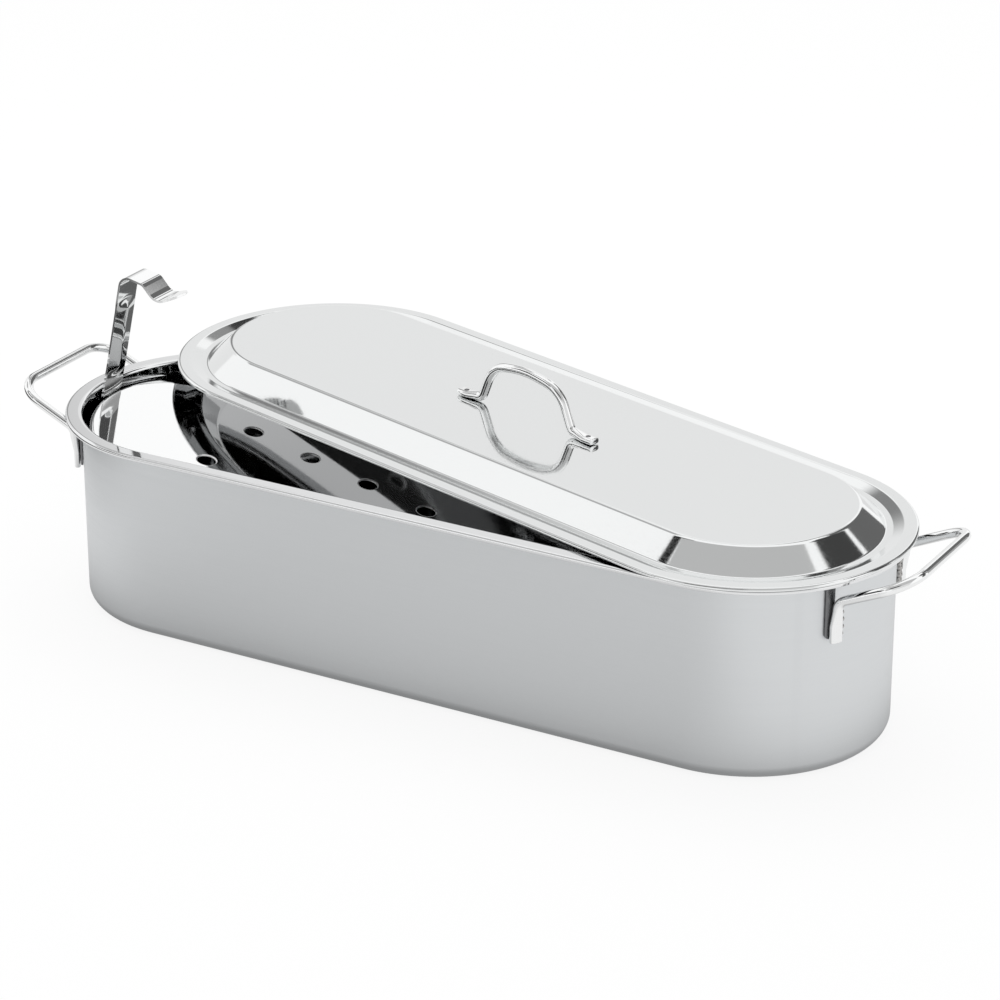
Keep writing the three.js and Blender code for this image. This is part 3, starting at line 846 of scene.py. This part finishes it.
def in_the_pan(points):
    """Points of the level rack, tilted about the Y axis and moved to where the rack stands."""
    c, s = np.cos(RACK_TILT), np.sin(RACK_TILT)
    tilt = np.array([[c, 0, s], [0, 1, 0], [-s, 0, c]])
    return points @ tilt.T + RACK_PLACE


# %% [markdown]
# Thin plate is never quite flat, which shows in what it reflects, so a slow wave is added to its
# height. The mesh is the upper side alone. Solidify adds the metal behind it, and Bevel breaks the
# edges.

# %% Unevenness and thickness
WAVE_HEIGHT = 0.12
WAVE_ALONG = 31.0  # mm along the plate in which the first wave turns by a radian
WAVE_ACROSS = 23.0
WAVE_START_ALONG = 0.6  # radians that it has turned at the middle of the plate
WAVE_START_ACROSS = 0.4
SLANT_SHARE = 0.7  # height of the second wave, which runs aslant, as a share of the first's
SLANT_ALONG = 57.0
SLANT_ACROSS = 80.0


def wave(x, y):
    """A slow unevenness: height (sin(x / along + start) cos(y / across + start) + share second), where
    the second wave is sin(x / slant along - y / slant across)."""
    level = np.sin(x / WAVE_ALONG + WAVE_START_ALONG) * np.cos(y / WAVE_ACROSS + WAVE_START_ACROSS)
    return WAVE_HEIGHT * (level + SLANT_SHARE * np.sin(x / SLANT_ALONG - y / SLANT_ACROSS))


def give_thickness(obj, thickness, edge, other_side=0):
    """Solidify adds the metal behind the surface, whose finish lies other_side places further down the
    list of materials, and Bevel breaks the cut edges."""
    wall = obj.modifiers.new("thickness", "SOLIDIFY")
    wall.thickness = thickness * MM
    wall.offset = -1
    wall.use_even_offset = True
    wall.material_offset = other_side
    break_edges(obj, edge, steps=2, sharper_than=50)


print("the plate is uneven by up to", round(WAVE_HEIGHT * (1 + SLANT_SHARE), 2), "mm")

# %% [markdown]
# The plate is put together from patches that share their border points: the grid, two round ends,
# the rings of every hole and the edge. Each face has a place in the list of materials, because the
# rolled edge of a hole is duller than the plate, and lighter in colour: a painted highlight on the
# rims of the holes.

# %% Rack plate
PLATE, PUNCHED = 0, 1  # places in the rack's list of materials
UNDERSIDE_FURTHER = 2  # places from a finish of the upper side to its finish underneath
RACK_EDGE_BREAK = 0.15


def patch(flat, height, faces, finish=PLATE):
    """Flat points at one height, or each at its own, with their faces and the finish of each face."""
    points = np.c_[flat, np.broadcast_to(height, len(flat))]
    return points, faces, np.broadcast_to(finish, len(faces))


def join_patches(patches):
    """All points, faces and finishes; a patch's faces count on from the points of those before it."""
    points, faces, finishes = zip(*patches)
    starts = np.r_[0, np.cumsum([len(p) for p in points])[:-1]]
    faces = [f + start for f, start in zip(faces, starts)]
    return np.concatenate(points), np.concatenate(faces), np.concatenate(finishes)


def hole_patches():
    """The rings round every hole. Their rolled part has the finish of the hole's rim, lighter as a painted
    highlight.
    """
    rings, drop = hole_rings()
    rows, columns = rings.shape[:2]
    faces = grid_faces(rows, columns, round_columns=True)
    finish = np.repeat(np.where(np.arange(rows - 1) < ROLL_STEPS, PUNCHED, PLATE), columns)
    height = np.repeat(RACK_LIP - drop, columns)
    flat = rings.reshape(-1, 2)
    return [patch(flat + [x, y], height, faces, finish) for x in HOLE_X for y in HOLE_Y]


def make_rack():
    """The joined patches, waved, set in the pan and given their thickness."""
    plate, plate_faces = plate_grid()
    patches = [patch(plate, RACK_LIP, plate_faces)]
    for end in (1, -1):
        beyond, beyond_faces = round_end_grid(end)
        patches.append(patch(beyond, RACK_LIP, beyond_faces))
    patches += hole_patches()
    edge, edge_height = rack_edge()
    edge_faces = grid_faces(*edge.shape[:2], round_columns=True)
    patches.append(patch(edge.reshape(-1, 2), edge_height, edge_faces))
    points, faces, finish = join_patches(patches)
    points[:, 2] += wave(points[:, 0], points[:, 1])
    mesh = closed_mesh("rack_plate_fine", in_the_pan(points), faces, finish, is_shell=True)
    plate_piece = piece(mesh, "rack", ["rack_plate"])
    give_thickness(plate_piece, SHEET, RACK_EDGE_BREAK, UNDERSIDE_FURTHER)
    return plate_piece


rack = make_rack()
report_fit(rack, ["rack_plate"])

# %% [markdown]
# A lifting strip is a flat bar spot-welded to the end of the rack. Its top is bent into a grip:
# inwards over the rack, down into a hollow for a finger, and out to a tongue. From the side that is
# one bent line, divided finely enough for the ridge that is pressed into it.

# %% Section of a lifting strip
GRIP_CROWN = 13.2
GRIP_FALL = 9.6
GRIP_DIP = 7.1
GRIP_TONGUE = 12.3
GRIP_TONGUE_RISE = 8.0
GRIP_CROWN_BEND = 4.0
GRIP_DIP_BEND = 6.5
STRIP_STEP = 1.5  # longest step along the section


def strip_section():
    """Up the inner face, over into the crown, down into the hollow and out to the tip."""
    hollow = (STRIP_INNER - GRIP_CROWN - GRIP_FALL, UNDER_GRIP - GRIP_DIP)
    tip = (hollow[0] - GRIP_TONGUE, hollow[1] + GRIP_TONGUE_RISE)
    corners = [
        (STRIP_INNER, 0),
        (STRIP_INNER, UNDER_GRIP),
        (STRIP_INNER - GRIP_CROWN, UNDER_GRIP),
        hollow,
        tip,
    ]
    bends = [0, STRIP_BEND, GRIP_CROWN_BEND, GRIP_DIP_BEND + STRIP_THICKNESS, 0]
    return bent_line(corners, bends), np.array(tip), unit(np.array(hollow) - tip)


def divided(line, longest):
    """The line with each step divided evenly, so that none is longer than so many mm."""
    parts = [line[:1]]
    for start, end in zip(line[:-1], line[1:]):
        steps = max(1, ceil(np.linalg.norm(end - start) / longest))
        parts.append(start + (end - start) * np.linspace(0, 1, steps + 1)[1:, None])
    return np.concatenate(parts)


strip_steps = np.diff(strip_section()[0], axis=0)
print("length of a strip, in mm:", round(float(np.linalg.norm(strip_steps, axis=1).sum()), 1))

# %% [markdown]
# A ridge pressed along the middle stiffens the bar, and the tongue ends in half a circle. The
# surface is the section carried across the width: the ridge is a height added to it, and the round
# end is a width that shrinks.

# %% Lifting strips
CREASE_DEPTH = 1.8
CREASE_FROM_PLATE = 10.0
CREASE_FROM_TOP = 16.0
CREASE_LOW = RACK_LIP + CREASE_FROM_PLATE
CREASE_HIGH = RACK_LIP + STRIP_HEIGHT - CREASE_FROM_TOP
CREASE_FADE = 6.0
CREASE_SOFTNESS = 0.08  # half the rounding of the ridge's top, as a share of half the width
STEM_LIMIT = 0.5  # the ridge lies only where the section is this near to the stem's line
TONGUE_TIP = 3.0  # width that is left at the very end
STRIP_COLUMNS = 25
STRIP_EDGE_BREAK = 0.3


def make_strip(side, end):
    """Point = section, moved in by the ridge, at share x half width across."""
    section, tip, tongue = strip_section()
    line = divided(section, STRIP_STEP)
    half = STRIP_WIDTH / 2
    in_tip = np.maximum(0, half - (line - tip) @ tongue)
    half_width = np.sqrt(np.maximum(half**2 - in_tip**2, TONGUE_TIP**2 / 4))
    share = np.linspace(-1, 1, STRIP_COLUMNS)
    rise = smooth_step(line[:, 1], CREASE_LOW, CREASE_LOW + CREASE_FADE)
    rise -= smooth_step(line[:, 1], CREASE_HIGH - CREASE_FADE, CREASE_HIGH)
    on_stem = line[:, 0] > STRIP_INNER - STEM_LIMIT
    ridge = 1 - np.sqrt(share**2 + CREASE_SOFTNESS**2) + CREASE_SOFTNESS * share**2
    crease = CREASE_DEPTH * (rise * on_stem)[:, None] * ridge
    x = line[:, :1] - crease
    y = half_width[:, None] * share
    z = np.broadcast_to(line[:, 1:], x.shape)
    points = in_the_pan(np.stack([end * x, end * y, z], axis=-1))
    mesh = closed_mesh(f"lifting_strip_{side}_fine", points, grid_faces(*x.shape), is_shell=True)
    strip = piece(mesh, "rack", [f"lifting_strip_{side}"])
    give_thickness(strip, STRIP_THICKNESS, STRIP_EDGE_BREAK)
    return strip


strips = {side: make_strip(side, end) for side, end in ENDS.items()}
for side, strip in strips.items():
    report_fit(strip, [f"lifting_strip_{side}"])

# %% [markdown]
# A material is a tree of nodes, and so is the studio further down. A few helpers keep both short:
# they make a node, feed its inputs, and map one range of values to another.

# %% Nodes
NOISE_SPAN = (0.3, 0.7)  # nearly all of a noise's values lie between these
NOISE_DETAIL = 3.0
NOISE_ROUGHNESS = 0.6


def feed(tree, value, target):
    """Gives an input its value: a link from another node's socket, or a plain number."""
    if isinstance(value, (int, float)):
        target.default_value = value
    else:
        tree.links.new(value, target)


def add_node(tree, kind, **settings):
    """A node of a kind, with its settings and, where a name is an input's, that input's value."""
    made = tree.nodes.new(kind)
    for key, value in settings.items():
        if key in made.inputs:
            made.inputs[key].default_value = value
        else:
            setattr(made, key, value)
    return made


def mapped(tree, value, start, end, low=0.0, high=1.0, is_smooth=False):
    """The value, from start..end to low..high, in a straight line or as a smooth step."""
    kind = "SMOOTHSTEP" if is_smooth else "LINEAR"
    ranges = {"From Min": start, "From Max": end, "To Min": low, "To Max": high}
    made = add_node(tree, "ShaderNodeMapRange", interpolation_type=kind, **ranges)
    feed(tree, value, made.inputs["Value"])
    return made.outputs["Result"]


def stretched_noise(tree, scale):
    """Noise in Object coordinates, multiplied by scale along each axis."""
    place = add_node(tree, "ShaderNodeTexCoord")
    mapping = add_node(tree, "ShaderNodeMapping", Scale=scale)
    noise = add_node(tree, "ShaderNodeTexNoise", Scale=1.0, Detail=NOISE_DETAIL, Roughness=NOISE_ROUGHNESS)
    feed(tree, place.outputs["Object"], mapping.inputs["Vector"])
    feed(tree, mapping.outputs["Vector"], noise.inputs["Vector"])
    return noise.outputs["Fac"]


print("a noise is read between", *NOISE_SPAN)

# %% [markdown]
# Steel has no colour pattern of its own. What tells one finish from another is how sharply it
# reflects: brushing leaves fine parallel scratches that smear the reflection, and polishing leaves
# only a trace of them. So each finish is mostly the same metal with another roughness, and a
# stretched noise in Object coordinates makes its scratches run the right way. Some colours stand
# in for light: the undersides of the lid and the rack are darker as painted shade, the pads behind
# the feet are near black as painted shade, and the rolled edges of the holes are lighter as a
# painted highlight.

# %% Finishes
BUMP_DEPTH = 0.00002
LEVEL_GRAIN = (18, 18, 1800)  # scratches that run level round a wall
LID_GRAIN = (900, 900, 900)
RACK_GRAIN = (14, 1100, 1100)
WIRE_GRAIN = (400, 400, 400)
WELD_GRAIN = (500, 500, 500)
POLISHED = (0.86, 0.865, 0.865)
# Colour, least and greatest roughness, grain, strength of the bump.
FINISHES = {
    "satin steel": ((0.70, 0.715, 0.725), (0.34, 0.44), LEVEL_GRAIN, 0.25),
    "lid steel": ((0.80, 0.81, 0.81), (0.03, 0.10), LID_GRAIN, 0.05),
    # Darker than the lid's top: painted shade under the lid.
    "lid underside with painted shade": ((0.52, 0.525, 0.53), (0.04, 0.08), LID_GRAIN, 0),
    "polished steel": (POLISHED, (0.03, 0.07), RACK_GRAIN, 0),
    "polished wire": (POLISHED, (0.05, 0.12), WIRE_GRAIN, 0),
    "pan inside": ((0.77, 0.775, 0.78), (0.03, 0.07), RACK_GRAIN, 0),
    # Darker than the rack's top: painted shade under the rack; its greater roughness is its finish.
    "rack underside with painted shade": ((0.42, 0.425, 0.43), (0.20, 0.30), RACK_GRAIN, 0),
    # Lighter than the plate: a painted highlight on the rims of the holes, with a duller finish.
    "punched edge with painted highlight": ((0.93, 0.93, 0.93), (0.35, 0.45), LID_GRAIN, 0),
    "weld metal": ((0.42, 0.41, 0.40), (0.15, 0.30), WELD_GRAIN, 0.3),
    # Near black: painted shade on the pads behind the feet, and a welding tint on the spot welds.
    "welding tint and painted shade": ((0.20, 0.20, 0.205), (0.15, 0.30), WIRE_GRAIN, 0),
}


def steel(name, colour, roughness, grain, bump):
    """Metal whose roughness varies between two values along its scratches, with a little bump."""
    made = bpy.data.materials.new(name)
    made.use_nodes = True
    tree = made.node_tree
    shader = tree.nodes["Principled BSDF"]
    shader.inputs["Base Color"].default_value = (*colour, 1)
    shader.inputs["Metallic"].default_value = 1.0
    scratches = stretched_noise(tree, grain)
    feed(tree, mapped(tree, scratches, *NOISE_SPAN, *roughness), shader.inputs["Roughness"])
    if bump:
        raised = add_node(tree, "ShaderNodeBump", Strength=bump, Distance=BUMP_DEPTH)
        feed(tree, scratches, raised.inputs["Height"])
        feed(tree, raised.outputs["Normal"], shader.inputs["Normal"])
    return made


finishes = {name: steel(name, *measures) for name, measures in FINISHES.items()}
print("finishes:", *finishes, sep="\n  ")

# %% [markdown]
# A piece of sheet has a finish for each side, in the order of the places that its faces name. All
# other pieces have one finish.

# %% Dressing the pieces
def dress(objects, *names):
    """Gives each object the same list of finishes."""
    for obj in objects:
        for name in names:
            obj.data.materials.append(finishes[name])


dress([pan], "satin steel", "pan inside")
dress([lid], "lid steel", "lid underside with painted shade")
dress([rack], "polished steel", "punched edge with painted highlight", "rack underside with painted shade", "punched edge with painted highlight")
dress(strips.values(), "polished steel")
dress([*handles.values(), lid_handle], "polished wire")
dress(beads, "weld metal")
# The pads' near-black colour is painted shade in the gap behind the feet.
dress([*pads, *spots], "welding tint and painted shade")
print("places for finishes on the rack:", len(rack.data.materials))

# %% [markdown]
# The studio. The camera sees plain white. A glossy ray sees the room that a photographer builds
# round polished steel: white nearly all round, a grey ceiling in front, and flags, which are black
# or grey cards. Each card is a soft-edged rectangle of directions, found by comparing the ray's
# direction with the card's middle, right and up.

# %% Cards
world = bpy.data.worlds.new("studio")
bpy.context.scene.world = world
world.use_nodes = True
sky = world.node_tree
sky.nodes.clear()
ray = add_node(sky, "ShaderNodeTexCoord").outputs["Generated"]


def math_node(tree, operation, *values):
    """One arithmetic step on values that are sockets or numbers."""
    made = add_node(tree, "ShaderNodeMath", operation=operation)
    for value, target in zip(values, made.inputs):
        feed(tree, value, target)
    return made.outputs[0]


def along_ray(direction):
    """The ray's share along a fixed direction: their dot product."""
    made = add_node(sky, "ShaderNodeVectorMath", operation="DOT_PRODUCT")
    feed(sky, ray, made.inputs[0])
    made.inputs[1].default_value = tuple(direction)
    return made.outputs["Value"]


def inside(value, limit, softness):
    """1 where the value's size is under the limit, falling to 0 over the softness."""
    size = math_node(sky, "ABSOLUTE", value)
    return mapped(sky, size, limit - softness / 2, limit + softness / 2, 1.0, 0.0, is_smooth=True)


def card(level, azimuth, elevation, half_width, half_height, brightness, softness):
    """Lays a card over the level so far: level + mask (brightness - level). Azimuth 0 is straight behind
    the pan and grows to the right. Half sizes and softness are tangents: sizes at a distance of 1."""
    a, e = radians(azimuth), radians(elevation)
    middle = np.array([np.sin(a) * np.cos(e), np.cos(a) * np.cos(e), np.sin(e)])
    right = np.array([np.cos(a), -np.sin(a), 0])
    ahead = along_ray(middle)
    across = math_node(sky, "DIVIDE", along_ray(right), ahead)
    above = math_node(sky, "DIVIDE", along_ray(np.cross(right, middle)), ahead)
    in_width = inside(across, half_width, softness)
    in_height = inside(above, half_height, softness)
    mask = math_node(sky, "MULTIPLY", in_width, in_height)
    mask = math_node(sky, "MULTIPLY", mask, math_node(sky, "GREATER_THAN", ahead, 0.0))
    change = math_node(sky, "SUBTRACT", brightness, level)
    return math_node(sky, "ADD", level, math_node(sky, "MULTIPLY", mask, change))


print("world:", world.name)

# %% [markdown]
# Where a card has to stand follows from the camera's ray and from the slope of the metal that it
# meets: the ray bounces off as steeply as it came, and the card stands where it then points. Each
# card's name says where it stands and what mirrors it.

# %% The room
ROOM = 1.12  # brightness of the white room, which shows between the cards
# Azimuth and elevation in degrees, half width, half height, brightness, softness. Later cards lie on top.
CARDS = {
    "wall behind: lid's panel and the shoulder of its left end": (-43, 6, 0.51, 0.41, 0.93, 0.05),
    "ceiling in front: front of the lid's right end": (159, 55, 0.95, 0.70, 0.57, 0.04),
    "dark gap left of the ceiling: edge of that reflection": (-107, 50, 0.04, 0.22, 0.02, 0.02),
    "grey low behind right: fall of the grip": (32.5, 12, 0.095, 0.27, 0.38, 0.02),
    "flag behind: lid's right end": (13, 20, 0.24, 0.55, 0.15, 0.03),
    "high flag behind right: lid's right end": (43.5, 40, 0.175, 0.30, 0.06, 0.03),
    "low flag on the right: stem of the lifting strip": (55, 17, 0.14, 0.20, 0.08, 0.04),
    "grey behind: crescent on the slope round the lid's left end": (-15, 37, 0.06, 0.08, 0.32, 0.05),
    "black above it: the same crescent": (-15, 45, 0.06, 0.07, 0.05, 0.04),
    "grey on the left: channel along the lid's front": (-72, 47, 0.22, 0.14, 0.50, 0.05),
    "grey behind left: edge of the lid's panel": (-29, 44, 0.12, 0.045, 0.45, 0.04),
    "soft flag on the wall: slope round the lid's right end": (-43.5, 18, 0.09, 0.40, 0.27, 0.12),
    "flag in front to the left: lines on the wires": (-125, 27, 0.30, 0.14, 0.02, 0.04),
    "flag in front: lines on the wires": (178, 42, 0.32, 0.13, 0.02, 0.04),
    "wall in front to the right: lid's panel, from behind": (140, 12, 0.60, 0.40, 0.80, 0.20),
}
level = ROOM
for measures in CARDS.values():
    level = card(level, *measures)
print("cards in the room:", len(CARDS))

# %% [markdown]
# A Light Path node tells the rays apart. Rays that only bring light see a plain daylight, so the
# cards darken nothing but reflections, and the camera sees white.

# %% What each ray sees
DAYLIGHT = 0.9


def mix(tree, share, first, second):
    """A Mix Shader: the first where the share, a socket or a number, is 0, the second where it is 1."""
    made = add_node(tree, "ShaderNodeMixShader")
    for value, target in zip((share, first, second), made.inputs):
        feed(tree, value, target)
    return made.outputs[0]


sky_path = add_node(sky, "ShaderNodeLightPath")
room = add_node(sky, "ShaderNodeBackground")
feed(sky, level, room.inputs["Color"])
daylight = add_node(sky, "ShaderNodeBackground", Color=(1, 1, 1, 1), Strength=DAYLIGHT)
white = add_node(sky, "ShaderNodeBackground", Color=(1, 1, 1, 1), Strength=1.0)
by_gloss = mix(sky, sky_path.outputs["Is Glossy Ray"], daylight.outputs[0], room.outputs[0])
by_camera = mix(sky, sky_path.outputs["Is Camera Ray"], by_gloss, white.outputs[0])
world_out = add_node(sky, "ShaderNodeOutputWorld")
feed(sky, by_camera, world_out.inputs["Surface"])
print("nodes in the world:", len(sky.nodes))

# %% [markdown]
# The floor is a plain pale sheet. A part of it glows, so that it meets the white background with
# no edge, and the rest takes light as paper does, which keeps the pan's shadow.

# %% Floor
FLOOR_SIZE = 8.0  # in metres
floor_corners = np.array([(-1, -1, 0), (1, -1, 0), (1, 1, 0), (-1, 1, 0)]) * FLOOR_SIZE / 2
floor_mesh = bpy.data.meshes.new("floor")
floor_mesh.from_pydata(floor_corners, [], [(0, 1, 2, 3)])
floor = bpy.data.objects.new("floor", floor_mesh)
bpy.context.scene.collection.objects.link(floor)
print("floor of", FLOOR_SIZE, "m each way")

# %% [markdown]
# What steel sees of the floor is worked out from two things: a point's place along and across the
# pan, and its distance from the pan's wall. The wall is a long oval, so that distance is the one
# from the short line between the two centres, less the radius.

# %% Distance from the wall
paper = bpy.data.materials.new("pale floor")
paper.use_nodes = True
sheet = paper.node_tree
sheet.nodes.clear()
split = add_node(sheet, "ShaderNodeSeparateXYZ")
feed(sheet, add_node(sheet, "ShaderNodeTexCoord").outputs["Object"], split.inputs[0])
floor_x, floor_y = split.outputs["X"], split.outputs["Y"]


def distance_from_wall(x, y):
    """sqrt(max(|x| - half the straight side, 0)^2 + y^2) - radius of the pan, in metres."""
    past_side = math_node(sheet, "SUBTRACT", math_node(sheet, "ABSOLUTE", x), PAN_STRAIGHT / 2 * MM)
    past_side = math_node(sheet, "MAXIMUM", past_side, 0.0)
    squares = [math_node(sheet, "POWER", side, 2.0) for side in (past_side, y)]
    distance = math_node(sheet, "SQRT", math_node(sheet, "ADD", *squares))
    return math_node(sheet, "SUBTRACT", distance, PAN_RADIUS * MM)


from_wall = distance_from_wall(floor_x, floor_y)
print("nodes that give the distance from the wall:", len(sheet.nodes))

# %% [markdown]
# The pan's brushed wall mirrors the sheet, blurred, so what steel sees of it matters. Steel sees a
# painted glow rather than lit paper: a painted shadow close to the pan, where little light gets in,
# middle grey in front, and painted lighter towards both sides. The glow is painted dark again far
# to the left in front.

# %% What steel sees of the floor
FRONT_LEVEL = 0.68  # close in front of the pan
LEVEL_GROWTH = 0.55  # in a metre away from the wall
MOST_GROWTH = 0.15
RIGHT_LEVEL = 0.98
LEFT_LEVEL = 0.93
FAR_LEFT_LEVEL = 0.10
RIGHT_SPAN = (0.13, 0.28)  # places along the pan, in metres, where the change starts and ends
LEFT_SPAN = (-0.17, -0.31)
FAR_LEFT_SPAN = (-0.42, -0.50)
BACK_SPAN = (0.10, 0.25)  # across the pan, where the far left level gives way
# The pan's painted shadow: the level falls to this share where the sheet meets the pan.
PAINTED_SHADOW_SHARE = 0.50  # of the level, where the sheet meets the pan
PAINTED_SHADOW_FADE = 0.024


def change_along(level, place, span, target):
    """Turns the level smoothly into the target between two places: level + share (target - level)."""
    share = mapped(sheet, place, *span, is_smooth=True)
    difference = math_node(sheet, "SUBTRACT", target, level)
    return math_node(sheet, "ADD", level, math_node(sheet, "MULTIPLY", share, difference))


def floor_level():
    """Level by place, times the painted shadow 1 - (1 - shadow share) exp(-distance from wall / fade)."""
    growth = math_node(sheet, "MULTIPLY", from_wall, LEVEL_GROWTH)
    level = math_node(sheet, "ADD", math_node(sheet, "MINIMUM", growth, MOST_GROWTH), FRONT_LEVEL)
    level = change_along(level, floor_x, RIGHT_SPAN, RIGHT_LEVEL)
    level = change_along(level, floor_x, LEFT_SPAN, LEFT_LEVEL)
    left_in_front = change_along(level, floor_x, FAR_LEFT_SPAN, FAR_LEFT_LEVEL)
    level = change_along(left_in_front, floor_y, BACK_SPAN, level)
    fall = math_node(sheet, "EXPONENT", math_node(sheet, "DIVIDE", from_wall, -PAINTED_SHADOW_FADE))
    keep = math_node(sheet, "SUBTRACT", 1.0, math_node(sheet, "MULTIPLY", fall, 1 - PAINTED_SHADOW_SHARE))
    return math_node(sheet, "MULTIPLY", level, math_node(sheet, "MAXIMUM", keep, PAINTED_SHADOW_SHARE))


seen_in_steel = add_node(sheet, "ShaderNodeEmission", Color=(1, 1, 1, 1))
feed(sheet, floor_level(), seen_in_steel.inputs["Strength"])
print("nodes that give the floor's level:", len(sheet.nodes))

# %% [markdown]
# Again a Light Path node tells the rays apart: the camera sees paper that glows for the most part,
# steel sees the level worked out above, and all other rays see plain paper.

# %% Paper
PAPER_COLOUR = (0.9, 0.9, 0.9, 1)
GLOW_SHARE = 0.86  # of what the camera sees
lit = add_node(sheet, "ShaderNodeBsdfDiffuse", Color=PAPER_COLOUR).outputs[0]
glow = add_node(sheet, "ShaderNodeEmission", Color=(1, 1, 1, 1), Strength=1.0).outputs[0]
path = add_node(sheet, "ShaderNodeLightPath")
for_camera = mix(sheet, GLOW_SHARE, lit, glow)
by_ray = mix(sheet, path.outputs["Is Glossy Ray"], lit, seen_in_steel.outputs[0])
either = mix(sheet, path.outputs["Is Camera Ray"], by_ray, for_camera)
floor_out = add_node(sheet, "ShaderNodeOutputMaterial")
feed(sheet, either, floor_out.inputs["Surface"])
floor.data.materials.append(paper)
print("share of the floor that glows for the camera:", GLOW_SHARE)

# %% [markdown]
# One large soft lamp above gives the shadow its direction. Steel doesn't mirror it, because the
# studio's picture already holds what steel should see.

# %% Lamp
LAMP_LENGTH = 1.6  # in metres
LAMP_WIDTH = 1.2
LAMP_POWER = 9.0  # in watts
LAMP_PLACE = Vector((-0.3, 0.4, 1.6))


def stand(obj, place, towards):
    """Puts a lamp or a camera in its place, looking along a direction."""
    obj.location = place
    obj.rotation_mode = "QUATERNION"
    obj.rotation_quaternion = towards.to_track_quat("-Z", "Y")
    bpy.context.scene.collection.objects.link(obj)


lamp_data = bpy.data.lights.new("soft lamp", "AREA")
lamp_data.shape = "RECTANGLE"
lamp_data.size = LAMP_LENGTH
lamp_data.size_y = LAMP_WIDTH
lamp_data.energy = LAMP_POWER
lamp = bpy.data.objects.new("soft lamp", lamp_data)
lamp.visible_glossy = False
stand(lamp, LAMP_PLACE, -LAMP_PLACE)
print("lamp", round(LAMP_PLACE.length, 2), "m from the pan")

# %% [markdown]
# The camera stands to the right of the middle and looks a little down, from far enough for a
# long lens. It was worked out from the outline of the pan in the photograph.

# %% Camera
CAMERA_TARGET = Vector((0.0150, 0.0, 0.0878))
CAMERA_AZIMUTH = radians(29.64)
CAMERA_ELEVATION = radians(23.24)
CAMERA_DISTANCE = 1.889
CAMERA_LENS = 132.57  # in mm, as is the width of the sensor
SENSOR_WIDTH = 36.0
FARTHEST_SEEN = 50.0
back = Vector((
    np.sin(CAMERA_AZIMUTH) * np.cos(CAMERA_ELEVATION),
    -np.cos(CAMERA_AZIMUTH) * np.cos(CAMERA_ELEVATION),
    np.sin(CAMERA_ELEVATION),
))
camera_data = bpy.data.cameras.new("camera")
camera_data.lens = CAMERA_LENS
camera_data.sensor_width = SENSOR_WIDTH
camera_data.clip_end = FARTHEST_SEEN
camera = bpy.data.objects.new("camera", camera_data)
stand(camera, CAMERA_TARGET + CAMERA_DISTANCE * back, -back)
bpy.context.scene.camera = camera
bpy.context.scene.view_settings.view_transform = "Standard"
print("camera", CAMERA_DISTANCE, "m from the pan, with a lens of", CAMERA_LENS, "mm")
